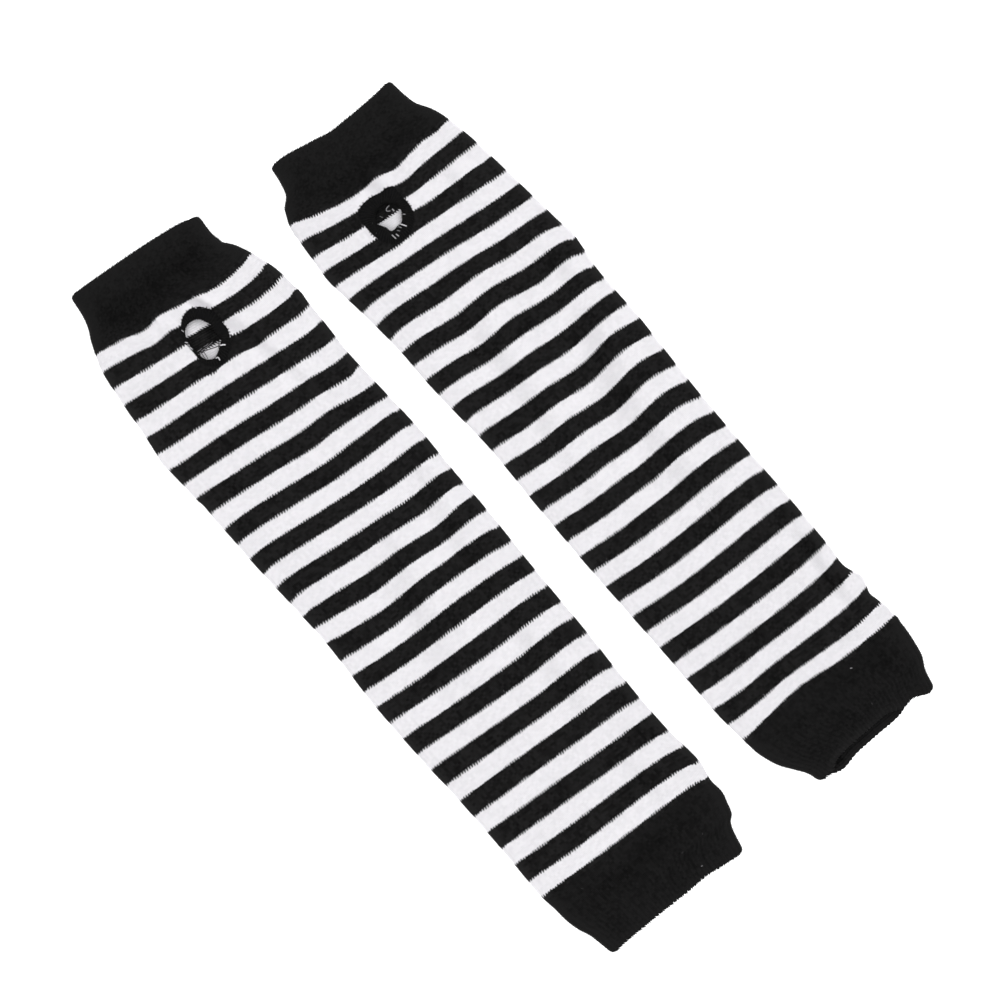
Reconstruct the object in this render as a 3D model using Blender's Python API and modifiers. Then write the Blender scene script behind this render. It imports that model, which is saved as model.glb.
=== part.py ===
"""A pair of knitted arm warmers, laid flat side by side on a surface.

Each warmer is one flattened tube of knit: a black hand cuff, a striped sleeve and a black arm cuff.
Its upper layer has a thumb hole with an overlocked edge. +Z is up, +Y runs towards the hands, and the
origin is on the surface, under the middle of the pair.

A warmer is described in its own millimetres: "across" from its middle line, and "along" from its hand
end towards the arm. A "stripe" is a place counted in stripes from where the sleeve starts, so the hand
cuff lies before 0. A "course" is one knitted line across the tube.
"""

import math

import bmesh
import bpy

MM = 0.001

# Driving sizes of the cloth, in mm
WALL = 1.2  # one layer of the sleeve's knit
CUFF_WALL = 1.3  # the elastic cuffs are a little thicker
SEAM_GAP = 0.45  # kept between pieces that touch
EDGE_THICKNESS = 1.6  # the overlocked edge of the thumb hole
CUTTER_TOP = 20.0  # how high the post stands that cuts the hole
HALF_WIDTH = 40.0  # from the middle line, where a course's lean, bow and swing are stated
LIP_SQUARENESS = 8  # how squarely the arm cuff's gaping lip comes down at its two sides

# Where the pieces of a warmer start and end, counted in stripes, and a stripe's mean length in mm
HAND_END = -4.0
SLEEVE_START = 0.0
SLEEVE_END = 35.0
ARM_END = 39.0
STRIPE = 7.8

# How finely the cloth is divided
LAYER_POINTS = 12  # across each layer
FOLD_POINTS = 3  # round each side fold
CUFF_SECTIONS = 8
SLEEVE_SECTIONS = 30
HOLE_POINTS = 24
EDGE_SIDES = 6
SEARCH_STEPS = 20  # halvings that find the course at a place
SETTLING_STEPS = 3  # turns that bring a point of a course between its side folds

# Colours as linear red, green, blue, alpha
BLACK_KNIT = (0.011, 0.011, 0.011, 1.0)
BLACK_THREAD = (0.008, 0.008, 0.008, 1.0)
WHITE_KNIT = (0.85, 0.84, 0.86, 1.0)
KNIT_ROUGHNESS = 0.9

# One knitted line across the tube: where it lies at the middle, how much further along its right edge
# is than its left, how far its middle is ahead of its edges, its S-shape, and the height of the two layers.
COURSE_COLUMNS = ("stripe", "middle", "lean", "bow", "swing", "height")
LEFT_COURSES = (
    (-4.0, 3.2, 10.8, -1.8, 0.8, 3.4),
    (-2.0, 17.0, 11.5, -0.5, 0.0, 3.6),
    (0.0, 31.5, 12.0, 2.0, -1.5, 3.5),
    (2.0, 45.5, 11.2, 0.9, -0.5, 3.4),
    (4.0, 60.0, 10.5, -0.4, 0.0, 3.3),
    (7.0, 83.4, 10.4, -0.5, -0.8, 3.3),
    (9.0, 98.7, 11.8, -0.5, 0.5, 3.4),
    (11.0, 114.6, 8.0, 1.5, -1.5, 3.3),
    (14.0, 137.6, 8.5, 1.5, -1.3, 3.2),
    (17.0, 160.4, 7.5, 2.0, -1.3, 3.3),
    (19.0, 175.0, 7.7, 1.3, 1.3, 3.4),
    (20.0, 182.4, 8.3, 0.1, 2.7, 3.3),
    (22.0, 197.8, 7.4, 0.3, 1.3, 3.2),
    (26.0, 230.5, 6.3, 1.5, -0.5, 3.2),
    (29.0, 254.3, 6.1, 0.3, -0.7, 3.3),
    (32.0, 279.2, 6.9, 0.1, 0.0, 3.3),
    (34.0, 295.8, 7.0, 0.2, 1.8, 3.4),
    (35.0, 303.7, 6.1, 0.4, 0.6, 3.5),
    (37.0, 320.0, 6.4, -0.5, 1.5, 3.6),
    (39.0, 336.8, 4.8, -1.4, 0.6, 3.4),
)
RIGHT_COURSES = (
    (-4.0, 5.5, 4.5, 4.5, -4.0, 3.4),
    (-2.0, 19.0, 8.5, 4.5, -1.0, 3.7),
    (0.0, 32.5, 12.5, 5.3, 2.9, 3.5),
    (1.0, 38.5, 11.0, 3.3, 1.5, 3.4),
    (2.0, 44.9, 9.9, 2.0, 0.8, 3.3),
    (4.0, 58.2, 11.2, 0.1, 0.8, 3.3),
    (6.0, 71.9, 10.6, -0.5, -1.5, 3.3),
    (8.0, 86.5, 10.5, 0.0, -0.5, 3.4),
    (11.0, 108.9, 9.0, 0.8, -0.5, 3.5),
    (14.0, 131.2, 7.8, 2.1, -0.7, 3.4),
    (16.0, 146.3, 8.0, 1.8, 1.7, 3.4),
    (19.0, 169.1, 7.5, 1.2, 1.6, 3.3),
    (21.0, 184.5, 8.8, 0.8, 2.9, 3.3),
    (24.0, 208.1, 7.0, 1.1, 1.7, 3.2),
    (27.0, 231.8, 7.0, 1.5, 1.6, 3.2),
    (30.0, 255.8, 4.9, 1.5, -0.5, 3.3),
    (32.0, 271.6, 3.8, 1.1, -0.9, 3.3),
    (34.0, 286.7, 1.8, -0.1, -3.3, 3.4),
    (35.0, 293.0, 0.4, -1.8, -4.6, 3.5),
    (37.0, 310.0, 3.0, -1.0, -1.5, 3.8),
    (39.0, 327.3, 1.5, 0.8, 0.8, 3.6),
)

# The two side folds, seen from above
OUTLINE_COLUMNS = ("along", "left", "right")
LEFT_OUTLINE = (
    (0.0, -27.6, 30.0),
    (10.0, -29.0, 31.3),
    (15.0, -30.6, 31.0),
    (20.0, -33.2, 31.1),
    (25.0, -35.2, 32.8),
    (30.0, -37.1, 35.6),
    (40.0, -38.7, 39.4),
    (50.0, -39.9, 41.6),
    (60.0, -40.8, 42.0),
    (75.0, -42.6, 41.8),
    (90.0, -42.1, 41.1),
    (110.0, -41.4, 42.0),
    (130.0, -41.3, 42.8),
    (150.0, -40.5, 42.3),
    (170.0, -40.0, 42.3),
    (200.0, -41.6, 41.3),
    (230.0, -41.4, 40.8),
    (250.0, -40.6, 40.0),
    (280.0, -40.5, 39.8),
    (300.0, -40.8, 41.3),
    (308.0, -39.8, 39.8),
    (315.0, -39.2, 40.2),
    (320.0, -38.0, 38.9),
    (324.5, -36.2, 37.4),
    (326.5, -35.7, 35.2),
    (331.0, -34.9, 33.3),
    (340.0, -33.2, 31.4),
)
RIGHT_OUTLINE = (
    (0.0, -28.2, 29.2),
    (10.0, -30.0, 29.9),
    (15.0, -33.6, 30.4),
    (20.0, -36.8, 31.5),
    (25.0, -38.6, 34.3),
    (30.0, -39.1, 36.2),
    (40.0, -40.1, 38.1),
    (50.0, -40.9, 39.4),
    (70.0, -39.1, 41.0),
    (90.0, -38.1, 42.6),
    (100.0, -38.4, 43.2),
    (115.0, -38.2, 41.4),
    (140.0, -37.2, 41.2),
    (170.0, -38.4, 39.4),
    (200.0, -39.2, 38.4),
    (230.0, -39.4, 38.1),
    (260.0, -39.5, 37.2),
    (280.0, -39.8, 37.1),
    (300.0, -38.3, 38.2),
    (305.0, -37.0, 37.8),
    (310.0, -35.0, 37.0),
    (315.0, -31.8, 35.8),
    (320.0, -28.8, 33.1),
    (328.0, -26.9, 30.9),
)

# Soft folds and ripples of the upper layer: where each lies, its reach across and along, how far it
# drags the knitted lines towards the arm, and how high it stands (a trough is negative).
FOLD_COLUMNS = ("across", "along", "reach_across", "reach_along", "drag", "rise")
LEFT_FOLDS = (
    (-14.0, 31.0, 6.0, 7.0, 1.2, -0.3),
    (-6.5, 32.0, 5.0, 7.0, -1.3, 0.8),
    (1.0, 32.0, 4.5, 6.0, -0.7, 0.0),
    (20.0, 32.0, 9.0, 7.0, 0.9, 0.3),
    (22.0, 100.0, 9.0, 18.0, -0.6, 0.6),
    (4.0, 105.0, 9.0, 16.0, 0.6, -0.2),
    (24.0, 162.0, 9.0, 20.0, 0.6, 0.6),
    (6.0, 166.0, 9.0, 18.0, -0.6, 0.3),
    (-14.0, 168.0, 9.0, 16.0, 0.5, 0.4),
    (28.0, 232.0, 10.0, 30.0, -0.4, 0.4),
    (-28.0, 250.0, 9.0, 30.0, 0.2, 0.3),
    (-12.0, 318.0, 10.0, 10.0, 0.0, 0.5),
    (25.0, 48.0, 7.0, 16.0, 0.5, 0.2),
)
RIGHT_FOLDS = (
    (0.0, 33.0, 5.0, 8.0, -0.9, 0.8),
    (8.5, 35.0, 5.5, 7.0, 1.1, -0.2),
    (-14.0, 100.0, 9.0, 26.0, 0.9, 0.6),
    (4.0, 105.0, 9.0, 22.0, -0.9, 0.2),
    (22.0, 100.0, 8.0, 22.0, 0.7, 0.7),
    (-8.0, 152.0, 9.0, 26.0, -0.7, 0.2),
    (10.0, 156.0, 9.0, 32.0, 1.0, 0.8),
    (28.0, 158.0, 9.0, 30.0, -0.8, 0.3),
    (-24.0, 283.0, 8.0, 14.0, 0.75, 0.4),
    (24.0, 292.0, 10.0, 10.0, 0.4, 0.5),
    (0.0, 312.0, 18.0, 8.0, 0.0, 0.6),
    (1.0, 188.0, 5.0, 14.0, 0.4, 0.2),
)

# The thumb hole's opening, and the outer line of its overlocked edge, as ovals
OVAL_COLUMNS = ("across", "along", "half_across", "half_along")
LEFT_OPENING = (1.3, 47.2, 5.8, 8.8)
LEFT_EDGE = (3.2, 47.4, 8.6, 12.4)
RIGHT_OPENING = (-6.2, 45.4, 5.5, 6.6)
RIGHT_EDGE = (-6.2, 46.2, 9.8, 10.0)

# The arm cuff's mouth: the right one gapes, so its upper lip stands off the lower layer and stops short
NO_GAPE = {"across": 0.0, "reach": 1.0, "lift": 0.0, "short": 0.0, "depth": 1.0}
RIGHT_GAPE = {"across": -3.0, "reach": 19.0, "lift": 2.4, "short": 5.0, "depth": 9.0}

WARMERS = {
    "left": {
        "hand_end": (-47.0, 170.0),
        "turn": -0.5,
        "courses": LEFT_COURSES,
        "outline": LEFT_OUTLINE,
        "folds": LEFT_FOLDS,
        "opening": LEFT_OPENING,
        "edge": LEFT_EDGE,
        "gape": NO_GAPE,
    },
    "right": {
        "hand_end": (46.5, 157.2),
        "turn": 0.5,
        "courses": RIGHT_COURSES,
        "outline": RIGHT_OUTLINE,
        "folds": RIGHT_FOLDS,
        "opening": RIGHT_OPENING,
        "edge": RIGHT_EDGE,
        "gape": RIGHT_GAPE,
    },
}


# ---- reading the tables ----


def smooth_row(table, columns, at):
    """The table's row at a place between its rows, as named values on a smooth curve through them."""
    keys = [row[0] for row in table]
    last = len(table) - 1
    at = min(max(at, keys[0]), keys[last])
    i = max(k for k in range(last) if keys[k] <= at)
    before, start, end, after = (table[min(max(k, 0), last)] for k in (i - 1, i, i + 1, i + 2))
    span = end[0] - start[0]
    t = (at - start[0]) / span
    values = {columns[0]: at}
    for c, name in enumerate(columns[1:], start=1):
        slope_in = (end[c] - before[c]) / (end[0] - before[0]) * span
        slope_out = (after[c] - start[c]) / (after[0] - start[0]) * span
        values[name] = (
            (2 * t**3 - 3 * t**2 + 1) * start[c]
            + (t**3 - 2 * t**2 + t) * slope_in
            + (3 * t**2 - 2 * t**3) * end[c]
            + (t**3 - t**2) * slope_out
        )
    return values


def course_row(warmer, stripe):
    """The shape of one course, as named values."""
    return smooth_row(warmer["courses"], COURSE_COLUMNS, stripe)


def course_along(warmer, stripe, across):
    """How far along a course lies at a place across it, before any fold drags it."""
    row = course_row(warmer, stripe)
    x = across / HALF_WIDTH
    return row["middle"] + row["lean"] / 2 * x - row["bow"] * x**2 + row["swing"] * (x**3 - x)


def stripe_at(warmer, across, along):
    """Which course lies at a place."""
    low, high = HAND_END, ARM_END
    for _ in range(SEARCH_STEPS):
        middle = (low + high) / 2
        if course_along(warmer, middle, across) < along:
            low = middle
        else:
            high = middle
    return (low + high) / 2


def fold_sum(warmer, across, along, effect):
    """What the folds near a place add up to there: their drag or their rise, in mm."""
    total = 0.0
    for values in warmer["folds"]:
        fold = dict(zip(FOLD_COLUMNS, values))
        off_across = (across - fold["across"]) / fold["reach_across"]
        off_along = (along - fold["along"]) / fold["reach_along"]
        total += fold[effect] * math.exp(-(off_across**2 + off_along**2))
    return total


# ---- the flattened tube ----


def place_on_course(warmer, stripe, share):
    """Across and along of a point on a course. share runs from -1 to 1 between the side folds."""
    radius = course_row(warmer, stripe)["height"] / 2
    across = share * HALF_WIDTH
    for _ in range(SETTLING_STEPS):
        edges = smooth_row(warmer["outline"], OUTLINE_COLUMNS, course_along(warmer, stripe, across))
        middle = (edges["left"] + edges["right"]) / 2
        half = (edges["right"] - edges["left"]) / 2 - radius
        across = middle + share * half
    return across, course_along(warmer, stripe, across)


def near_lip(warmer, across, along):
    """1 at the middle of the arm cuff's gaping lip, 0 away from it."""
    gape = warmer["gape"]
    to_end = course_along(warmer, ARM_END, across) - along
    sideways = ((across - gape["across"]) / gape["reach"]) ** LIP_SQUARENESS
    return math.exp(-sideways - (to_end / gape["depth"]) ** 2)


def upper_point(warmer, stripe, share):
    """A point on the outer face of the upper layer, whose folds die out towards the sides."""
    across, along = place_on_course(warmer, stripe, share)
    gape = warmer["gape"]
    lip = near_lip(warmer, across, along)
    inside = 1 - share**6
    rise = fold_sum(warmer, across, along, "rise") + gape["lift"] * lip
    drag = fold_sum(warmer, across, along, "drag") - gape["short"] * lip
    return across, along + inside * drag, course_row(warmer, stripe)["height"] + inside * rise


def side_fold(warmer, stripe, side):
    """The points round one side fold: down on the right, where side is 1, and up on the left, at -1."""
    centre, along = place_on_course(warmer, stripe, side)
    radius = course_row(warmer, stripe)["height"] / 2
    points = []
    for i in range(1, FOLD_POINTS + 1):
        angle = math.pi * i / (FOLD_POINTS + 1)
        across = centre + side * radius * math.sin(angle)
        points.append((across, along, radius + side * radius * math.cos(angle)))
    return points


def ring(warmer, stripe):
    """The loop of points round the outside of the tube at one course. The lower layer lies flat."""
    shares = [-1 + 2 * i / (LAYER_POINTS - 1) for i in range(LAYER_POINTS)]
    upper = [upper_point(warmer, stripe, share) for share in shares]
    lower = [(*place_on_course(warmer, stripe, share), 0.0) for share in reversed(shares)]
    return upper + side_fold(warmer, stripe, 1) + lower + side_fold(warmer, stripe, -1)


# ---- pieces ----


def point(across, along, height):
    """A warmer's own millimetres as a point of its pieces, in metres. The hands are towards +Y."""
    return (across * MM, -along * MM, height * MM)


def face_outwards(mesh):
    """Turns every face of a mesh outwards."""
    skin = bmesh.new()
    skin.from_mesh(mesh)
    bmesh.ops.recalc_face_normals(skin, faces=skin.faces)
    skin.to_mesh(mesh)
    skin.free()


def put_in(obj, collection, parent):
    """Moves an object into a collection, under its warmer."""
    for old in obj.users_collection:
        old.objects.unlink(obj)
    collection.objects.link(obj)
    obj.parent = parent


def knit_tube(name, warmer, start, end, sections, wall, material):
    """A flattened tube, open at both ends: a skin lofted from course to course, with its wall inside."""
    skin = bmesh.new()
    loops = []
    for i in range(sections):
        stripe = start + (end - start) * i / (sections - 1)
        loops.append([skin.verts.new(point(*place)) for place in ring(warmer, stripe)])
    count = len(loops[0])
    for near, far in zip(loops, loops[1:]):
        for j in range(count):
            k = (j + 1) % count
            skin.faces.new((near[j], far[j], far[k], near[k]))
    mesh = bpy.data.meshes.new(name)
    skin.to_mesh(mesh)
    skin.free()
    mesh.shade_smooth()
    mesh.materials.append(material)
    tube = bpy.data.objects.new(name, mesh)
    shell = tube.modifiers.new("wall", "SOLIDIFY")
    shell.thickness = wall * MM
    shell.offset = -1.0
    shell.use_even_offset = True
    return tube


def oval_point(oval, angle, grow=0.0):
    """Across and along of a point on an oval, which is grown outwards by some mm."""
    size = dict(zip(OVAL_COLUMNS, oval))
    return (
        size["across"] + (size["half_across"] + grow) * math.cos(angle),
        size["along"] + (size["half_along"] + grow) * math.sin(angle),
    )


def upper_height(warmer, across, along):
    """Height of the upper layer's outer face at a place well inside it."""
    stripe = stripe_at(warmer, across, along)
    return course_row(warmer, stripe)["height"] + fold_sum(warmer, across, along, "rise")


def thumb_edge(name, warmer, material):
    """The overlocked edge: a torus pressed flat between the opening's oval and its own outer one."""
    torus_radius, tube_radius = 1.0, 0.5
    bpy.ops.mesh.primitive_torus_add(
        major_segments=HOLE_POINTS,
        minor_segments=EDGE_SIDES,
        major_radius=torus_radius,
        minor_radius=tube_radius,
    )
    band = bpy.context.object
    band.name = name
    band.data.name = name
    for vert in band.data.vertices:
        angle = math.atan2(vert.co.y, vert.co.x)
        outwards = (math.hypot(vert.co.x, vert.co.y) - torus_radius + tube_radius) / (2 * tube_radius)
        inner = oval_point(warmer["opening"], angle)
        outer = oval_point(warmer["edge"], angle)
        across, along = (a + (b - a) * outwards for a, b in zip(inner, outer))
        middle = upper_height(warmer, across, along) - WALL / 2
        vert.co = point(across, along, middle + vert.co.z / (2 * tube_radius) * EDGE_THICKNESS)
    face_outwards(band.data)
    band.data.shade_smooth()
    band.data.materials.append(material)
    return band


def hole_cutter(name, warmer):
    """An oval post that stands between the layers and cuts the upper one for the thumb hole."""
    bpy.ops.mesh.primitive_cylinder_add(vertices=HOLE_POINTS, radius=1.0, depth=2.0)
    post = bpy.context.object
    post.name = name
    for vert in post.data.vertices:
        angle = math.atan2(vert.co.y, vert.co.x)
        across, along = oval_point(warmer["edge"], angle, SEAM_GAP)
        between_layers = upper_height(warmer, *warmer["edge"][:2]) / 2
        height = CUTTER_TOP if vert.co.z > 0 else between_layers
        vert.co = point(across, along, height)
    face_outwards(post.data)
    post.hide_render = True
    post.display_type = "WIRE"
    return post


def cut_hole(tube, post):
    """Cuts the thumb hole with its post."""
    cut = tube.modifiers.new("thumb hole", "BOOLEAN")
    cut.operation = "DIFFERENCE"
    cut.object = post


def knit_material(name, colour):
    """A plain dull cloth."""
    material = bpy.data.materials.new(name)
    material.use_nodes = True
    shader = material.node_tree.nodes["Principled BSDF"]
    shader.inputs["Base Color"].default_value = colour
    shader.inputs["Roughness"].default_value = KNIT_ROUGHNESS
    shader.inputs["Metallic"].default_value = 0.0
    material.diffuse_color = colour
    return material


def arm_warmer(side, warmer, materials, pieces, cutters):
    """One warmer's four pieces, under an empty at its hand end."""
    frame = bpy.data.objects.new(f"{side}_warmer", None)
    pieces.objects.link(frame)
    frame.location = (warmer["hand_end"][0] * MM, warmer["hand_end"][1] * MM, 0.0)
    frame.rotation_euler = (0.0, 0.0, math.radians(warmer["turn"]))

    gap = SEAM_GAP / STRIPE
    hand_cuff = knit_tube(
        f"{side}_hand_cuff", warmer, HAND_END, SLEEVE_START - gap, CUFF_SECTIONS, CUFF_WALL, materials["cuff"]
    )
    sleeve = knit_tube(
        f"{side}_sleeve", warmer, SLEEVE_START, SLEEVE_END, SLEEVE_SECTIONS, WALL, materials["sleeve"]
    )
    arm_cuff = knit_tube(
        f"{side}_arm_cuff", warmer, SLEEVE_END + gap, ARM_END, CUFF_SECTIONS, CUFF_WALL, materials["cuff"]
    )
    edge = thumb_edge(f"{side}_thumb_edge", warmer, materials["thread"])
    post = hole_cutter(f"{side}_hole_cutter", warmer)
    cut_hole(sleeve, post)
    for piece in (hand_cuff, sleeve, arm_cuff, edge):
        put_in(piece, pieces, frame)
    put_in(post, cutters, frame)


def main():
    for obj in list(bpy.data.objects):
        bpy.data.objects.remove(obj, do_unlink=True)
    pieces = bpy.data.collections.new("arm_warmers")
    cutters = bpy.data.collections.new("cutters")
    for collection in (pieces, cutters):
        bpy.context.scene.collection.children.link(collection)
    materials = {
        "cuff": knit_material("black_knit", BLACK_KNIT),
        "sleeve": knit_material("striped_knit", WHITE_KNIT),
        "thread": knit_material("black_thread", BLACK_THREAD),
    }
    for side, warmer in WARMERS.items():
        arm_warmer(side, warmer, materials, pieces, cutters)


main()
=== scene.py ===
"""The looks of a pair of knitted arm warmers, laid flat side by side on a pale floor.

Each warmer is one tube of fine jersey: a black elastic hand cuff, a sleeve striped in white and black, and
a black arm cuff that ends in fine ribs. Its upper layer has a thumb hole with an overlocked edge. The tube
has 146 wales, which are the columns of stitches along it, and eight courses, the rows of stitches across
it, to each stripe. Every piece of cloth carries its wale and course numbers, and the stripes, the stitches
and the ribs all follow those.

A warmer is described in its own millimetres: "across" from its middle line, and "along" from its hand end
towards the arm. A "stripe" is a place counted in stripes from where the sleeve starts.
"""

import math
from collections import namedtuple
from functools import partialmethod

import bmesh
import bpy
import numpy as np
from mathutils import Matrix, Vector
from mathutils.bvhtree import BVHTree


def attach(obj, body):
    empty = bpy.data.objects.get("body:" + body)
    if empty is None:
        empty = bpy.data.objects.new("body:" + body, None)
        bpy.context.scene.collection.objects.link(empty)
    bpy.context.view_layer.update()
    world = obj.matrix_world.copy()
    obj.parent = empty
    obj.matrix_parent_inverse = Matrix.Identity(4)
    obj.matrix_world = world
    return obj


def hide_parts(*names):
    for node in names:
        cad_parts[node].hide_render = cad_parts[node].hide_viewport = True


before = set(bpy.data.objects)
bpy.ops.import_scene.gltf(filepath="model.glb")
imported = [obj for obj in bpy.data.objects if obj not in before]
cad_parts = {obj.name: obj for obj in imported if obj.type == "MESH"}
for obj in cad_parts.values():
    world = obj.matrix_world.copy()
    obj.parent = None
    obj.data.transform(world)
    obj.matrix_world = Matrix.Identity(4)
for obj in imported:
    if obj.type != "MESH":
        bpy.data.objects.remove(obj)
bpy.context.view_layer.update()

MM = 0.001

# ---- sizes of the cloth, in mm ----

WALL = 1.2  # one layer of the sleeve
CUFF_WALL = 1.3
HALF_WIDTH = 40.0  # from the middle line, where a course's lean, bow and swing are stated
HAND_END = -4.0  # the pieces' ends, counted in stripes
SLEEVE_START = 0.0
SLEEVE_END = 35.0
ARM_END = 39.0
STRIPE = 7.8  # a stripe's mean length
WAVE_DEPTH = 7.0  # how far from an end line its waves reach
CORNER = 1.6  # how round the corners of the flat ends are
HIGHLIGHT_REACH = 3.0  # how far in from the folds and ends the painted highlight on the yarn reaches
CURL_REACH = 3.0  # how far in from a fold the knitted lines turn
LIP_SQUARENESS = 8  # how squarely the gaping lip comes down at its sides
MOUTH_SHADE = 0.09  # how much darker the painted shade in the mouth is for each mm to the left, and how much lighter it is painted to the right
LIP_ROLL = 1.3  # how far in from its edge the lip catches the light, and how wide
LIP_FADE = 30.0  # how far across the lip that light fades out
MOUTH_RIM = 1.9  # how much of the lower layer stays free of painted shade inside the gaping mouth
EDGE_BULGE = 0.45  # how far the overlocked edge stands off the cloth

# ---- the knit ----

LAYER_WALES = 68  # across each layer
FOLD_WALES = 5  # round each side fold
WALES = 2 * (LAYER_WALES + FOLD_WALES)
COURSES = 8  # to a stripe
CUFF_TUCK = 0.25  # how far the sleeve's black rows run into a cuff, in stripes

# One knitted line across the tube: where it lies at the middle, how much further along its right edge
# is than its left, how far its middle is ahead of its edges, its S-shape, and the height of the two layers.
COURSE_COLUMNS = ("stripe", "middle", "lean", "bow", "swing", "height")
LEFT_COURSES = (
    (-4, 3.2, 10.8, -1.8, 0.8, 3.4), (-2, 17, 11.5, -0.5, 0, 3.6), (0, 31.5, 12, 2, -1.5, 3.5),
    (2, 45.5, 11.2, 0.9, -0.5, 3.4), (4, 60, 10.5, -0.4, 0, 3.3), (7, 83.4, 10.4, -0.5, -0.8, 3.3),
    (9, 98.7, 11.8, -0.5, 0.5, 3.4), (11, 114.6, 8, 1.5, -1.5, 3.3), (14, 137.6, 8.5, 1.5, -1.3, 3.2),
    (17, 160.4, 7.5, 2, -1.3, 3.3), (19, 175, 7.7, 1.3, 1.3, 3.4), (20, 182.4, 8.3, 0.1, 2.7, 3.3),
    (22, 197.8, 7.4, 0.3, 1.3, 3.2), (26, 230.5, 6.3, 1.5, -0.5, 3.2), (29, 254.3, 6.1, 0.3, -0.7, 3.3),
    (32, 279.2, 6.9, 0.1, 0, 3.3), (34, 295.8, 7, 0.2, 1.8, 3.4), (35, 303.7, 6.1, 0.4, 0.6, 3.5),
    (37, 320, 6.4, -0.5, 1.5, 3.6), (39, 336.8, 4.8, -1.4, 0.6, 3.4),
)
RIGHT_COURSES = (
    (-4, 5.5, 4.5, 4.5, -4, 3.4), (-2, 19, 8.5, 4.5, -1, 3.7), (0, 32.5, 12.5, 5.3, 2.9, 3.5),
    (1, 38.5, 11, 3.3, 1.5, 3.4), (2, 44.9, 9.9, 2, 0.8, 3.3), (4, 58.2, 11.2, 0.1, 0.8, 3.3),
    (6, 71.9, 10.6, -0.5, -1.5, 3.3), (8, 86.5, 10.5, 0, -0.5, 3.4), (11, 108.9, 9, 0.8, -0.5, 3.5),
    (14, 131.2, 7.8, 2.1, -0.7, 3.4), (16, 146.3, 8, 1.8, 1.7, 3.4), (19, 169.1, 7.5, 1.2, 1.6, 3.3),
    (21, 184.5, 8.8, 0.8, 2.9, 3.3), (24, 208.1, 7, 1.1, 1.7, 3.2), (27, 231.8, 7, 1.5, 1.6, 3.2),
    (30, 255.8, 4.9, 1.5, -0.5, 3.3), (32, 271.6, 3.8, 1.1, -0.9, 3.3),
    (34, 286.7, 1.8, -0.1, -3.3, 3.4), (35, 293, 0.4, -1.8, -4.6, 3.5), (37, 310, 3, -1, -1.5, 3.8),
    (39, 327.3, 1.5, 0.8, 0.8, 3.6),
)

# The two side folds, seen from above
OUTLINE_COLUMNS = ("along", "left", "right")
LEFT_OUTLINE = (
    (0, -27.6, 30), (10, -29, 31.3), (15, -30.6, 31), (20, -33.2, 31.1), (25, -35.2, 32.8),
    (30, -37.1, 35.6), (40, -38.7, 39.4), (50, -39.9, 41.6), (60, -40.8, 42), (75, -42.6, 41.8),
    (90, -42.1, 41.1), (110, -41.4, 42), (130, -41.3, 42.8), (150, -40.5, 42.3), (170, -40, 42.3),
    (200, -41.6, 41.3), (230, -41.4, 40.8), (250, -40.6, 40), (280, -40.5, 39.8), (300, -40.8, 41.3),
    (308, -39.8, 39.8), (315, -39.2, 40.2), (320, -38, 38.9), (324.5, -36.2, 37.4),
    (326.5, -35.7, 35.2), (331, -34.9, 33.3), (340, -33.2, 31.4),
)
RIGHT_OUTLINE = (
    (0, -28.2, 29.2), (10, -30, 29.9), (15, -33.6, 30.4), (20, -36.8, 31.5), (25, -38.6, 34.3),
    (30, -39.1, 36.2), (40, -40.1, 38.1), (50, -40.9, 39.4), (70, -39.1, 41), (90, -38.1, 42.6),
    (100, -38.4, 43.2), (115, -38.2, 41.4), (140, -37.2, 41.2), (170, -38.4, 39.4), (200, -39.2, 38.4),
    (230, -39.4, 38.1), (260, -39.5, 37.2), (280, -39.8, 37.1), (300, -38.3, 38.2), (305, -37, 37.8),
    (310, -35, 37), (315, -31.8, 35.8), (320, -28.8, 33.1), (328, -26.9, 30.9),
)

# Soft folds and ripples of the upper layer: where each lies, its reach across and along, how far it
# drags the knitted lines towards the arm, and how high it stands (a trough is negative).
FOLD_COLUMNS = ("across", "along", "reach_across", "reach_along", "drag", "rise")
LEFT_FOLDS = (
    (-14, 31, 6, 7, 1.2, -0.3), (-6.5, 32, 5, 7, -1.3, 0.8), (1, 32, 4.5, 6, -0.7, 0),
    (20, 32, 9, 7, 0.9, 0.3), (22, 100, 9, 18, -0.6, 0.6), (4, 105, 9, 16, 0.6, -0.2),
    (24, 162, 9, 20, 0.6, 0.6), (6, 166, 9, 18, -0.6, 0.3), (-14, 168, 9, 16, 0.5, 0.4),
    (28, 232, 10, 30, -0.4, 0.4), (-28, 250, 9, 30, 0.2, 0.3), (-12, 318, 10, 10, 0, 0.5),
    (-4, 60, 3, 3.5, 0.8, 0), (16, 61.5, 5, 5, 1.1, 0.3), (8.5, 34, 3.5, 9, -0.9, 0),
    (9, 55, 4, 5, -0.7, 0), (25, 48, 7, 16, 0.5, 0.2), (-31, 154, 7, 4, 0.5, 0),
    (24, 176, 5, 4, -0.6, 0),
)
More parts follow.
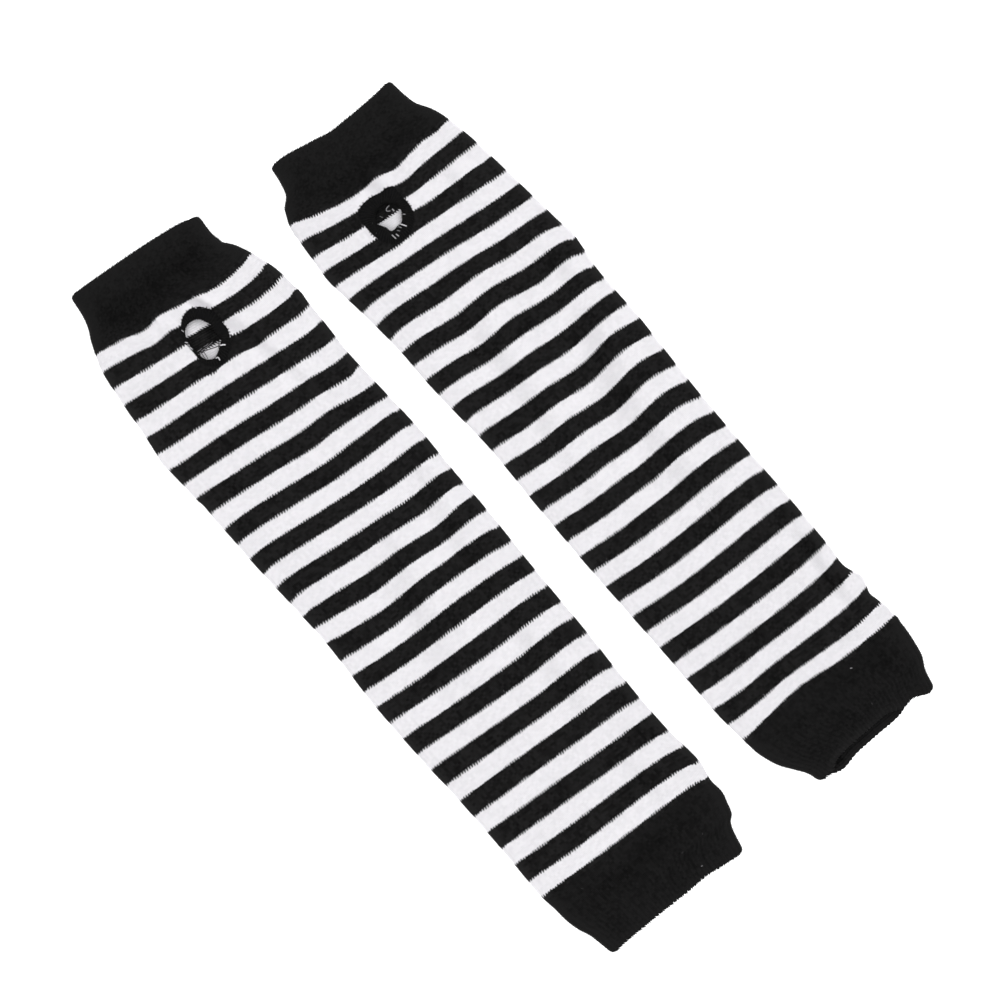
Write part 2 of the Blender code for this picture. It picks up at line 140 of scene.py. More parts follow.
RIGHT_FOLDS = (
    (0, 33, 5, 8, -0.9, 0.8), (8.5, 35, 5.5, 7, 1.1, -0.2), (-14, 100, 9, 26, 0.9, 0.6),
    (4, 105, 9, 22, -0.9, 0.2), (22, 100, 8, 22, 0.7, 0.7), (-8, 152, 9, 26, -0.7, 0.2),
    (10, 156, 9, 32, 1, 0.8), (28, 158, 9, 30, -0.8, 0.3), (-24, 283, 8, 14, 0.75, 0.4),
    (24, 292, 10, 10, 0.4, 0.5), (0, 312, 18, 8, 0, 0.6), (1, 53.5, 5, 4, -0.9, 0),
    (30.5, 33, 3.5, 4, 0.9, 0), (22, 32, 4, 4, -0.4, 0), (31, 52, 7, 6, -0.6, 0),
    (-12, 57, 6, 4, 0.5, 0), (20, 104, 13, 3.5, 0.6, 0), (28, 140, 8, 4, -0.6, 0),
    (15, 196, 5, 14, -0.4, 0), (1, 188, 5, 14, 0.4, 0.2), (-8, 297, 5, 5, -0.6, 0),
    (8, 297, 5, 5, 0.6, 0), (24, 296, 5, 5, -0.5, 0),
)

# Creases: narrower troughs and ridges that run from one place to another and die out at both.
# rise is the height of a ridge's line, or the depth of a trough's when it is negative.
CREASE_COLUMNS = ("across", "along", "to_across", "to_along", "reach", "rise")
LEFT_CREASES = (
    (6.6, 30, 11.4, 43, 1.8, -3), (11.5, 41, 14.5, 56, 3.2, -1.8), (14, 48, 22, 90, 2.6, -1.2),
    (-9.5, 27, -9, 38, 1.6, -0.7), (-36, 33, -22, 38, 3, -0.5), (-34, 33, 8, 36.5, 4.5, -0.5),
    (-38, 44, -6, 48, 3.5, -0.4), (33, 130, 22, 190, 4, -0.8), (4.5, 146, 4, 166, 2.2, -0.5),
    (1, 150, -11, 220, 7.5, -0.9), (21, 200, 19.5, 266, 4.6, -0.8), (19, 272, 21, 306, 3.6, -0.5),
    (-30, 18, 34, 22, 7.5, -1.8), (-44, 314.5, 34, 316, 5, -1.2), (24, 308, 34, 332, 3, 0.5),
)
RIGHT_CREASES = (
    (-4.5, 28, -2, 40, 2.8, -1.5), (-36, 31, 20, 38, 4.5, -0.35), (23, 44, 22, 60, 3, -0.8),
    (-7, 90, -17, 160, 4.6, -1), (-15, 148, -22, 188, 3.6, -0.5), (32, 96, 30, 116, 3.6, -0.7),
    (27, 120, 12, 168, 6.4, -1.2), (14, 150, 11, 214, 6.2, -0.9), (27, 218, 28, 242, 2.4, -0.5),
    (31, 242, 28, 286, 2.6, -1.6), (10, 289, 26, 292, 3, -0.7), (-20, 25, 22, 26.5, 5, -1.3),
    (-33, 303, -6, 304, 4, -0.9), (2, 302, 30, 306, 6.5, -1),
)

# Small steps in a side fold's line: how far a place on it stands out, on the right where side is 1
RIPPLE_COLUMNS = ("side", "along", "reach", "out")
LEFT_RIPPLES = (
    (1, 24.3, 1.6, -0.6), (1, 60, 3, 0.5), (-1, 75, 3.5, 0.4), (-1, 98, 3, -0.4),
)
RIGHT_RIPPLES = (
    (1, 267.5, 4.5, -0.8), (1, 276.5, 3.8, 1.9), (1, 283.5, 2.2, -0.6), (1, 291, 2.4, 0.7),
    (1, 297, 2, 0.6), (1, 96, 4, 0.5), (-1, 258, 4, 0.3), (-1, 13.3, 2, -0.9), (-1, 16.6, 1.5, 0.4),
)

# Small waves in the two end lines: how far each pulls the line towards the arm. end is -1 for the hand end.
WAVE_COLUMNS = ("end", "across", "reach", "out")
LEFT_WAVES = ((1, 14, 6, -0.6), (1, -33, 3, 0.5))
RIGHT_WAVES = (
    (1, -24.5, 3, -1.4), (1, -16.5, 5, 1.4), (1, 10, 5, 0.3), (1, 21, 4, -2.1), (1, 28.5, 2.5, 0.9),
    (-1, -20, 6, -0.4), (-1, -1.5, 5, 0.7), (-1, 16, 6, -0.3),
)

# How far the lower layer's knitted lines lie behind the upper's at the middle
LAG_COLUMNS = ("along", "lag")
LEFT_LAG = ((0, 0), (25, 3.2), (39, 4.7), (46, 5.5), (80, 4), (140, 1), (340, 0))
RIGHT_LAG = ((0, 0), (25, 1.4), (43, 1.9), (80, 1.6), (140, 0.6), (340, 0))

# How far the knitted lines turn towards the arm at the left and the right fold
CURL_COLUMNS = ("along", "left", "right")
LEFT_CURL = (
    (6, 0, 1.2), (14, 0, 0), (30, 0, -1.3), (60, -0.7, -1.5), (74, -0.8, -1.2), (88, 0, -0.5),
    (98, 0, -2), (108, 0.7, -0.2), (118, 0.6, 1.6), (130, 0.9, 1.5), (140, 0.9, 1.2), (154, 1, 2),
    (166, -0.3, 0.9), (176, 0.2, 1.6), (186, 0.2, 0), (205, 0.2, 0.3), (230, 0.4, 1.2), (264, 0.1, 0.9),
    (272, 0.1, 0), (285, 0.3, 1), (305, 0.7, 1.2), (340, 0, 0),
)
RIGHT_CURL = (
    (30, 0.4, 0.1), (65, 0.3, -0.3), (80, 1.2, 0.2), (96, 0.2, 2.2), (110, 0.4, 1.8), (125, 0.8, 1.1),
    (150, 0.2, 0.9), (170, 0.6, 1.1), (190, 0.6, 0.9), (205, 0.2, 0.3), (228, 0.5, 1), (250, 0.2, 0.1),
    (268, -0.5, -0.9), (288, -1.3, 0.3), (305, 0, 0.3), (328, 0, 0),
)

# The thumb hole, measured from its middle in turn: 0 degrees is to the right and 90 is towards the arm.
# "opening" is where the cloth ends, and "edge" is the outer line of the overlocking.
HOLE_COLUMNS = ("degrees", "opening", "edge")
LEFT_HOLE_MIDDLE = (1.3, 47.2)
LEFT_HOLE = (
    (0, 5.5, 10.4), (20, 6, 10.8), (40, 7.2, 11.1), (60, 7.4, 11.6), (80, 8.2, 12.3), (100, 9.1, 12.6),
    (120, 8.6, 11.2), (150, 6.3, 7.4), (180, 5.5, 6.3), (210, 6.1, 7.2), (240, 7.5, 9), (255, 8, 10.3),
    (270, 8.2, 11.8), (285, 8.1, 12.7), (300, 7.7, 13), (315, 7, 12.5), (335, 6.5, 11.6),
)
RIGHT_HOLE_MIDDLE = (-6.2, 45.4)
RIGHT_HOLE = (
    (0, 5.7, 9.4), (20, 6, 9.9), (48, 5.9, 10.9), (69, 6.7, 11.5), (90, 6.3, 11.9), (116, 7, 12),
    (135, 5.5, 11.6), (160, 5.3, 10.4), (187, 5.8, 10), (210, 5.2, 11.2), (230, 4.8, 11.7),
    (250, 4.5, 10.4), (270, 4.4, 9.5), (295, 4.6, 9.3), (313, 4.8, 11.1), (325, 4.9, 11.4),
    (342, 5.3, 9.7),
)

# Thread ends caught in the overlocking: how light each is, its thickness, and the places it runs through,
# with the height of each above the cloth
LEFT_THREADS = (
    (0, 0.42, ((-3.9, 50.2, -0.2), (-1.9, 51.3, 0.3), (0.6, 52.3, 0.3), (3.9, 53.6, 0.4),
     (5.4, 54.4, 0.6))),
    (1, 0.6, ((4.9, 54, 0.6), (5.7, 54.4, 0.8), (6.5, 55.1, 0.6))),
    (0, 0.42, ((6.9, 50.7, 0.3), (5.2, 52.6, 0.5), (3.5, 54.6, 0.1))),
    (0, 0.28, ((-3.7, 50.8, -0.2), (-3.9, 53.4, 0))),
    (0, 0.3, ((-2.8, 50.8, -0.2), (-2.9, 52.2, 0.2), (-3.2, 54.2, -0.2))),
    (0, 0.28, ((-1.8, 51.2, -0.3), (-1.9, 52.6, 0.1), (-2.4, 54.8, -0.3))),
    (0.35, 0.22, ((-3.7, 49.8, -0.2), (-2.3, 50, 0), (-1.4, 49.9, -0.3))),
    (0.3, 0.22, ((-0.6, 50, -0.3), (0.6, 50.3, 0), (1.6, 50.2, -0.3))),
    (0.3, 0.22, ((-2.6, 50.6, -0.3), (0.4, 50.9, 0), (3.4, 50.8, -0.3))),
    (0.9, 0.45, ((0.2, 56.7, 0.7), (1.1, 56.9, 1), (0.9, 58.3, 0.8))),
    (0.8, 0.4, ((-4.9, 44, 0.6), (-4.2, 44.9, 0.7))),
    (0.7, 0.4, ((-4.9, 45.4, 0.6), (-4.3, 46.1, 0.7))),
    (0.8, 0.4, ((-4.8, 46.5, 0.6), (-4.4, 48.1, 0.7))),
    (0.6, 0.3, ((-2.8, 39.5, 0.7), (-2.6, 40.6, 0.6))),
)
RIGHT_THREADS = (
    (0.35, 0.4, ((-3.4, 43.4, 0.2), (-4.9, 43.6, 0.5), (-5.5, 44.4, 0.5), (-4.4, 45.2, 0.2))),
    (0.5, 0.55, ((-3.3, 45.2, 0.3), (-3.3, 46.3, 0.2))),
    (0.2, 0.3, ((-8.9, 44.1, 0), (-8.3, 45.3, 0.1))),
    (0.5, 0.5, ((-10.2, 52.8, 0.8), (-10, 55, 0.8))),
    (0.55, 0.5, ((-8.8, 53.6, 0.8), (-8.5, 55, 0.8))),
    (0.25, 0.35, ((-7.5, 52.8, 0.8), (-6.8, 53.8, 0.8))),
    (0.35, 0.4, ((-6.1, 52.1, 0.7), (-5.5, 53.2, 0.8))),
    (0.75, 0.55, ((-4.9, 51.7, 0.6), (-4.3, 52.8, 0.9), (-3.6, 54, 0.7))),
    (0.4, 0.4, ((-1.6, 49.5, 0.7), (-0.9, 50.2, 0.8))),
    (0, 0.4, ((-12, 44, 0), (-9.5, 45.2, 0.3), (-7, 45.6, -0.2))),
    (0, 0.35, ((-7.4, 45, -0.1), (-4.2, 46.6, 0.2), (-0.6, 46.4, 0))),
)

# Bits of pale lint on the black cuffs
LINT_COLUMNS = ("across", "along", "length", "degrees", "tone")
LINT_THICKNESS = 0.35
LEFT_LINT = (
    (15.2, 332.6, 0.6, 20, 0.3),
    (12.8, 323.6, 0.9, 0, 0.04),
    (23.6, 323.2, 0.8, 140, 0.04),
    (-26.3, 308.7, 0.8, 60, 0.03),
)
RIGHT_LINT = ((11.6, 300.1, 0.8, 30, 0.5), (8.3, 315.7, 0.7, 110, 0.06))

# The arm cuff's mouth: the right one gapes, so its upper lip stands off the lower layer and stops short.
# across and reach are the lip's middle and half its width, lift how high it stands off, short how far it
# stops before the lower layer does, and depth how far in from the end it does all this.
NO_GAPE = {"across": 0, "reach": 1, "lift": 0, "short": 0, "depth": 1}
RIGHT_GAPE = {"across": -3, "reach": 19, "lift": 2.4, "short": 5, "depth": 9}

# Each warmer's place and turn, the seed of its yarn's unevenness, and its tables
WARMERS = {
    "left": {
        "hand_end": (-47.0, 170.0), "turn": -0.5, "seed": 11, "gape": NO_GAPE,
        "courses": LEFT_COURSES, "outline": LEFT_OUTLINE, "folds": LEFT_FOLDS, "creases": LEFT_CREASES,
        "ripples": LEFT_RIPPLES, "waves": LEFT_WAVES, "lag": LEFT_LAG, "curl": LEFT_CURL,
        "hole_middle": LEFT_HOLE_MIDDLE, "hole": LEFT_HOLE, "threads": LEFT_THREADS, "lint": LEFT_LINT,
    },
    "right": {
        "hand_end": (46.5, 157.2), "turn": 0.5, "seed": 23, "gape": RIGHT_GAPE,
        "courses": RIGHT_COURSES, "outline": RIGHT_OUTLINE, "folds": RIGHT_FOLDS, "creases": RIGHT_CREASES,
        "ripples": RIGHT_RIPPLES, "waves": RIGHT_WAVES, "lag": RIGHT_LAG, "curl": RIGHT_CURL,
        "hole_middle": RIGHT_HOLE_MIDDLE, "hole": RIGHT_HOLE, "threads": RIGHT_THREADS, "lint": RIGHT_LINT,
    },
}

# ---- camera, floor and light ----

FLOOR_SIZE = 20.0
FLOOR_LEVEL = -0.26 * MM  # the raised wales of the underside rest on it
FLOOR_GREY = (0.94, 0.94, 0.94, 1.0)
FLOOR_GLOW = 0.8
SKY_GLOW = 0.8
FULL_WHITE = (1.0, 1.0, 1.0, 1.0)
LIGHT_SIZE = 0.6
# Each light's name, place and power
LIGHTS = (("right light", (0.9, 0.35, 0.9), 6.3), ("left light", (-0.9, -0.2, 0.9), 4.8))

VIEW_TURN = math.radians(-41.14)  # the camera looks straight down, turned so that the warmers lie aslant
VIEW_MIDDLE = (0.00018, -0.0021)
VIEW_WIDTH = 0.394
LENS = 85.0
SENSOR = 36.0
NEAREST_SEEN = 0.01
CLOTH_TOP = 0.002


def add_object(name, data):
    thing = bpy.data.objects.new(name, data)
    bpy.context.scene.collection.objects.link(thing)
    return thing


def add_camera():
    """A camera straight above the pair."""
    data = bpy.data.cameras.new("camera")
    data.lens = LENS
    data.sensor_width = SENSOR
    data.clip_start = NEAREST_SEEN
    camera = add_object("camera", data)
    camera.location = (*VIEW_MIDDLE, VIEW_WIDTH * LENS / SENSOR + CLOTH_TOP)
    camera.rotation_euler = (0.0, 0.0, VIEW_TURN)
    bpy.context.scene.camera = camera


def add_light(name, place, power):
    """A square soft light that shines at the middle of the pair."""
    data = bpy.data.lights.new(name, "AREA")
    data.shape = "SQUARE"
    data.size = LIGHT_SIZE
    data.energy = power
    light = add_object(name, data)
    light.location = place
    light.rotation_euler = (-Vector(place)).to_track_quat("-Z", "Y").to_euler()


def add_surroundings():
    """A pale floor that glows a little, as a light table does, under soft light from all round."""
    bpy.ops.mesh.primitive_plane_add(size=FLOOR_SIZE, location=(0.0, 0.0, FLOOR_LEVEL))
    floor = bpy.context.object
    floor.name = "floor"
    pale = Finish("pale floor")
    pale.dress({"Base Color": FLOOR_GREY, "Roughness": 1.0, "Specular IOR Level": 0.0})
    pale.dress({"Emission Color": FULL_WHITE, "Emission Strength": FLOOR_GLOW})
    floor.data.materials.append(pale.material)

    world = bpy.data.worlds.new("soft room")
    world.use_nodes = True
    sky = world.node_tree.nodes["Background"].inputs
    sky["Color"].default_value = FULL_WHITE
    sky["Strength"].default_value = SKY_GLOW
    bpy.context.scene.world = world
    for light in LIGHTS:
        add_light(*light)
    bpy.context.scene.view_settings.view_transform = "Standard"


# ---- reading the tables ----

SEARCH_STEPS = 24
CREASE_EVENNESS = 3  # how evenly deep a crease runs before it dies out at its two ends
SWELL = 0.4  # how much the cloth swells beside a trough, and how many times as wide
SWELL_WIDTH = 2.2


def bell(distance):
    """1 at 0, dying out on both sides of it."""
    return np.exp(-(distance**2))


def read_table(table, columns, at):
    """Each column's value at places between a table's rows, on a smooth curve through them."""
    rows = np.array(table, float)
    keys = rows[:, 0]
    at = np.clip(np.asarray(at, float), keys[0], keys[-1])
    start = np.clip(np.searchsorted(keys, at, side="right") - 1, 0, len(keys) - 2)
    ahead = np.vstack((rows[1:], rows[-1]))
    behind = np.vstack((rows[0], rows[:-1]))
    slopes = (ahead - behind) / (ahead[:, :1] - behind[:, :1])
    span = keys[start + 1] - keys[start]
    t = (at - keys[start]) / span
    values = {columns[0]: at}
    for c, name in enumerate(columns[1:], start=1):
        values[name] = (
            (2 * t**3 - 3 * t**2 + 1) * rows[start, c]
            + (t**3 - 2 * t**2 + t) * slopes[start, c] * span
            + (3 * t**2 - 2 * t**3) * rows[start + 1, c]
            + (t**3 - t**2) * slopes[start + 1, c] * span
        )
    return values


def table_rows(table, columns):
    """A table's rows, each with its values by name."""
    return [dict(zip(columns, row)) for row in table]


def course_row(warmer, stripe):
    """The shape of the courses at some stripes."""
    return read_table(warmer["courses"], COURSE_COLUMNS, stripe)


def course_along(warmer, stripe, across):
    """How far along a course lies at a place across it, before any fold drags it."""
    row = course_row(warmer, stripe)
    x = across / HALF_WIDTH
    past = (stripe - row["stripe"]) * STRIPE  # a rim goes a little past the last course
    return row["middle"] + past + row["lean"] / 2 * x - row["bow"] * x**2 + row["swing"] * (x**3 - x)


def stripe_at(warmer, across, along):
    """Which stripe's line lies at a place."""
    low, high = HAND_END, ARM_END
    for _ in range(SEARCH_STEPS):
        middle = (low + high) / 2
        if course_along(warmer, middle, across) < along:
            low = middle
        else:
            high = middle
    return (low + high) / 2


def fold_sum(warmer, across, along, effect):
    """What the soft folds add up to at a place: their drag or their rise, in mm."""
    total = 0.0
    for fold in table_rows(warmer["folds"], FOLD_COLUMNS):
        off_across = (across - fold["across"]) / fold["reach_across"]
        off_along = (along - fold["along"]) / fold["reach_along"]
        total = total + fold[effect] * np.exp(-(off_across**2 + off_along**2))
    return total


def crease_sum(warmer, across, along):
    """How high or low the creases leave a place, in mm. Cloth beside a trough swells a little."""
    total = 0.0
    for crease in table_rows(warmer["creases"], CREASE_COLUMNS):
        run_across = crease["to_across"] - crease["across"]
        run_along = crease["to_along"] - crease["along"]
        length = math.hypot(run_across, run_along)
        off_across, off_along = across - crease["across"], along - crease["along"]
        t = (off_across * run_across + off_along * run_along) / length**2
        beside = (off_across * run_along - off_along * run_across) / length / crease["reach"]
        fade = np.clip(1 - np.abs(2 * t - 1) ** CREASE_EVENNESS, 0, 1)
        total = total + crease["rise"] * fade * (bell(beside) - SWELL * bell(beside / SWELL_WIDTH))
    return total


def wave_sum(warmer, stripe, across):
    """How far the waves in the end lines pull a place towards the arm. They die out away from the ends."""
    total = 0.0
    for wave in table_rows(warmer["waves"], WAVE_COLUMNS):
        away = ARM_END - stripe if wave["end"] > 0 else stripe - HAND_END
        near = bell(np.maximum(away, 0) * STRIPE / WAVE_DEPTH)
        total = total + wave["out"] * near * bell((across - wave["across"]) / wave["reach"])
    return total


def ripple_sum(warmer, side, along):
    """How far the small steps in a side fold's line stand out at a place along it."""
    total = 0.0
    for ripple in table_rows(warmer["ripples"], RIPPLE_COLUMNS):
        on_side = np.clip(side * ripple["side"], 0, 1)
        total = total + on_side * ripple["out"] * bell((along - ripple["along"]) / ripple["reach"])
    return total


# ---- the surface of the flattened tube ----

TUBE_CORNERS = (0, LAYER_WALES, LAYER_WALES + FOLD_WALES, WALES - FOLD_WALES, WALES)
SETTLING_STEPS = 4
FLATNESS = 6  # how far towards the side folds the layers keep their folds and creases
LAYER_GAP = 0.25  # the least room between the two layers
LOWER_SHIFT = 9.0  # the lower layer's creases are the upper's in reverse, moved along and flatter
LOWER_DEPTH = 0.5
LIP_GLOW = 0.6  # how brightly the middle of the lip catches the light


def round_the_tube(wale):
    """Where a wale lies round the tube: its share across a layer, from -1 to 1, how far the cloth has
    turned over there, from 0 on the upper layer through pi on the lower one, and how much it is upper."""
    share = np.interp(wale, TUBE_CORNERS, (-1, 1, 1, -1, -1))
    turned = np.interp(wale, TUBE_CORNERS, (0, 0, math.pi, math.pi, 2 * math.pi))
    return share, turned, (1 + np.cos(turned)) / 2


def to_fold(share):
    """How far a place is from the nearer side fold, in mm."""
    return (1 - np.abs(share)) * HALF_WIDTH


def to_end(stripe):
    """How far a place is from the nearer end of the tube, in mm."""
    return np.maximum(np.minimum(stripe - HAND_END, ARM_END - stripe), 0) * STRIPE


def corner_cut(stripe):
    """How much narrower the tube is near its two ends, where its corners are rounded."""
    return CORNER - np.sqrt(CORNER**2 - (CORNER - np.minimum(to_end(stripe), CORNER)) ** 2)


def place_on_course(warmer, stripe, share):
    """Across and along of a point on a course. share runs from -1 to 1 between the side folds."""
    radius = course_row(warmer, stripe)["height"] / 2
    across = share * HALF_WIDTH + 0 * stripe
    for _ in range(SETTLING_STEPS):
        along = course_along(warmer, stripe, across)
        edges = read_table(warmer["outline"], OUTLINE_COLUMNS, along)
        middle = (edges["left"] + edges["right"]) / 2
        half = (edges["right"] - edges["left"]) / 2 - radius - corner_cut(stripe)
        half = half + ripple_sum(warmer, share, along)
        across = middle + share * half
    return across, course_along(warmer, stripe, across)


def near_lip(warmer, across, along):
    """1 at the middle of the arm cuff's gaping lip, 0 away from it."""
    gape = warmer["gape"]
    off_edge = course_along(warmer, ARM_END + 0 * along, across) - along
    sideways = ((across - gape["across"]) / gape["reach"]) ** LIP_SQUARENESS
    return np.exp(-sideways - (np.maximum(off_edge, 0) / gape["depth"]) ** 2)


def in_mouth(warmer, stripe, across, along):
    """Painted shade in the arm cuff's gaping mouth at a place of the lower layer: darker on the left, where
    it opens most, and painted lighter on the right.
    """
    past_rim = 1 - bell((ARM_END - stripe) * STRIPE / MOUTH_RIM)
    gapes = warmer["gape"]["lift"] > 0
    return -MOUTH_SHADE * across * near_lip(warmer, across, along) * past_rim * gapes


def on_lip(warmer, stripe, across, along):
    """1 on the rolled edge of the gaping lip, which catches the light most on the left."""
    off_roll = ((ARM_END - stripe) * STRIPE - LIP_ROLL) / LIP_ROLL
    glow = np.clip(LIP_GLOW - across / LIP_FADE, 0, 1)
    gapes = warmer["gape"]["lift"] > 0
    return near_lip(warmer, across, along) * bell(off_roll) * glow * gapes


def near_edge(stripe, wale):
    """1 on a side fold or a free end, where the yarn gets a painted highlight, and less away from it."""
    in_from_fold = to_fold(round_the_tube(wale)[0])
    return 1 - (1 - np.exp(-in_from_fold / HIGHLIGHT_REACH)) * (1 - np.exp(-to_end(stripe) / HIGHLIGHT_REACH))


def cloth_point(warmer, stripe, wale, depth, wall):
    """A point of the cloth, some depth under its outer face: its across, along and height, in mm."""
    share, turned, upper = round_the_tube(wale)
    across, along = place_on_course(warmer, stripe, share)
    radius = course_row(warmer, stripe)["height"] / 2
    inside = 1 - share**FLATNESS
    lip = near_lip(warmer, across, along)
    gape = warmer["gape"]

    rise = fold_sum(warmer, across, along, "rise") + crease_sum(warmer, across, along)
    lowest = 2 * wall + LAYER_GAP - 2 * radius  # the upper layer comes down no further
    rise = np.maximum(rise, lowest) + gape["lift"] * lip
    drag = fold_sum(warmer, across, along, "drag") - gape["short"] * lip
    curl = read_table(warmer["curl"], CURL_COLUMNS, along)
    curl = np.where(share < 0, curl["left"], curl["right"]) * np.exp(-to_fold(share) / CURL_REACH)
    lag = read_table(warmer["lag"], LAG_COLUMNS, along)["lag"]
    pressed = np.maximum(crease_sum(warmer, -across, along + LOWER_SHIFT), 0) * LOWER_DEPTH

    height = radius + (radius - depth) * np.cos(turned)
    height = height + inside * (upper * rise + (1 - upper) * pressed)
    along = along + inside * (upper * drag + (1 - upper) * lag) + curl
    along = along + wave_sum(warmer, stripe, across) * (1 - upper * lip)  # the gaping lip runs straight
    return across + (radius - depth) * np.sin(turned), along, height


def to_row(warmer, across, along, height):
    """A warmer's own millimetres as points of the whole part, in metres."""
    x0, y0 = warmer["hand_end"]
    cos, sin = math.cos(math.radians(warmer["turn"])), math.sin(math.radians(warmer["turn"]))
    x = x0 + across * cos + along * sin
    y = y0 + across * sin - along * cos
    return np.stack(np.broadcast_arrays(x, y, height), axis=-1) * MM


# ---- building cloth ----

RIM_STEPS = (30.0, 75.0, 115.0)  # degrees round the cloth's welted end, from its outer face
HEM_SWAY = 0.03  # how knobbly that end is, in stripes
KNOB = 0.8  # how much some wales stick out further there, and how often
KNOB_PACE = 2.4
SEAM_ROW = 0.008  # keeps the shading of a piece flat up to its seam, in stripes

Row = namedtuple("Row", "stripe wales depth first sway")


class Skin:
    """The points and faces of one piece of cloth, with each face corner's wale and course."""

    def __init__(self, warmer, wall):
        self.warmer = warmer
        self.wall = wall
        self.rows = []
        self.count = 0
        self.faces = []
        self.corners = []

    def add_row(self, stripe, wales, depth, sway=0.0):
        """A loop of points round the tube at one stripe place. sway is how far, in stripes, the line
        swings out at each wale and back between them."""
        self.rows.append(Row(stripe, wales, depth, self.count, sway))
        self.count += len(wales)

    def place_rows(self):
        """Works out the rows' points and the values they carry, all those of one wale list at a time."""
        points = np.zeros((self.count, 3))
        values = {}
        for size in sorted({len(row.wales) for row in self.rows}):
            rows = [row for row in self.rows if len(row.wales) == size]
            columns = ([row.stripe, row.depth, row.sway, row.first] for row in rows)
            stripes, depths, sways, firsts = (np.array(column)[:, None] for column in zip(*columns))
            wales = rows[0].wales[None, :]
            knobs = 1 + KNOB * np.sin(KNOB_PACE * np.floor(wales + 0.5))
            swung = stripes - sways * knobs * np.cos(2 * math.pi * wales)
            places = cloth_point(self.warmer, swung, wales, depths, self.wall)
            across, along, _ = places
            upper = round_the_tube(wales)[2]
            found = {
                "wale": wales + 0 * stripes,
                "course": stripes * COURSES + 0 * wales,
                "outer": 1 - depths / self.wall + 0 * wales,
                # painted shade: darker in the upper layer's creases, and in the lower layer inside the
                # gaping mouth
                "painted_shade": -crease_sum(self.warmer, across, along) * upper
                + in_mouth(self.warmer, stripes, across, along) * (1 - upper),
                # where the painted highlight along the folds and ends lies
                "edge": near_edge(stripes, wales),
                "lip": on_lip(self.warmer, stripes, across, along) * upper,
            }
            at = firsts + np.arange(size)[None, :]
            points[at] = to_row(self.warmer, *places)
            for name, held in found.items():
                values.setdefault(name, np.zeros(self.count))[at] = held
        return points, values

    def face_even(self, near, far):
        """Four-cornered faces between two rows with the same wales."""
        size = len(near.wales)
        this = np.arange(size)
        after = (this + 1) % size
        faces = (near.first + this, far.first + this, far.first + after, near.first + after)
        corners = np.empty((size, 4, 2))
        corners[:, :2, 0] = near.wales[:, None]
        corners[:, 2:, 0] = np.append(near.wales[1:], WALES)[:, None]
        corners[:, (0, 3), 1] = near.stripe * COURSES
        corners[:, (1, 2), 1] = far.stripe * COURSES
        self.faces += np.stack(faces, axis=1).tolist()
        self.corners.append(corners.reshape(-1, 2))

    def face_uneven(self, *rows):
        """Triangles between two rows with different wales."""
        wales = [np.append(row.wales, WALES) for row in rows]
        ends = [len(row.wales) for row in rows]
        at = [0, 0]

        def corner(r):
            return rows[r].first + at[r] % ends[r], (wales[r][at[r]], rows[r].stripe * COURSES)

        while at != ends:
            corners = [corner(0), corner(1)]
            near_next = at[0] < ends[0] and (at[1] == ends[1] or wales[0][at[0] + 1] <= wales[1][at[1] + 1])
            step = 0 if near_next else 1
            at[step] += 1
            corners.append(corner(step))
            self.faces.append([point for point, _ in corners])
            self.corners.append(np.array([place for _, place in corners]))

    def to_mesh(self, name):
        """Joins each row to the next, and the last to the first, so that the skin closes."""
        points, values = self.place_rows()
        for near, far in zip(self.rows, self.rows[1:] + self.rows[:1]):
            join = self.face_even if len(near.wales) == len(far.wales) else self.face_uneven
            join(near, far)
        mesh = bpy.data.meshes.new(name)
        mesh.from_pydata(points.tolist(), [], self.faces)
        knit = mesh.uv_layers.new(name="knit")
        knit.data.foreach_set("uv", np.concatenate(self.corners).astype(np.float32).ravel())
        for label, held in values.items():
            add_values(mesh, label, held)
        mesh.shade_smooth()
        return mesh


def add_values(mesh, name, values):
    """Gives each point of a mesh a named value."""
    held = mesh.attributes.new(name, "FLOAT", "POINT")
    held.data.foreach_set("value", np.asarray(values, np.float32))


def read_values(mesh, name):
    values = np.empty(len(mesh.vertices), np.float32)
    mesh.attributes[name].data.foreach_get("value", values)
    return values


def spread_wales(*steps):
    """Wale numbers of a row's points: so many steps across the upper layer, a fold, the lower layer and
    the other fold."""
    parts = zip(TUBE_CORNERS, TUBE_CORNERS[1:], steps)
    return np.concatenate([np.linspace(a, b, n, endpoint=False) for a, b, n in parts])


OUTER_WALES = spread_wales(2 * LAYER_WALES, 2 * FOLD_WALES, LAYER_WALES, 2 * FOLD_WALES)
INNER_WALES = spread_wales(LAYER_WALES, FOLD_WALES, LAYER_WALES, FOLD_WALES)


def tube_mesh(name, warmer, start, end, wall, hems):
    """A length of the tube as a closed skin: its outer and inner faces, joined at both ends. hems says
    which of its two ends are free ones, with a rounded rim; the others meet the next piece."""
    skin = Skin(warmer, wall)
    courses = int(round((end - start) * COURSES))
    reach = wall / 2 / STRIPE
    rims = [(math.sin(a) * reach, wall / 2 * (1 - math.cos(a))) for a in map(math.radians, RIM_STEPS)]
    first = start + reach if hems[0] else start
    last = end - reach if hems[1] else end
    stripes = list(np.linspace(first, last, courses + 1))
    if hems[0]:
        for past, depth in reversed(rims):
            skin.add_row(first - past, OUTER_WALES, depth, -HEM_SWAY)
    else:
        stripes.insert(1, first + SEAM_ROW)
    if not hems[1]:
        stripes.insert(-1, last - SEAM_ROW)
    for stripe in stripes:
        skin.add_row(stripe, OUTER_WALES, 0.0)
    if hems[1]:
        for past, depth in rims:
            skin.add_row(last + past, OUTER_WALES, depth, HEM_SWAY)
    for stripe in np.linspace(last, first, courses // 2 + 1):
        skin.add_row(stripe, INNER_WALES, wall)
    return skin.to_mesh(name)


# ---- node trees ----

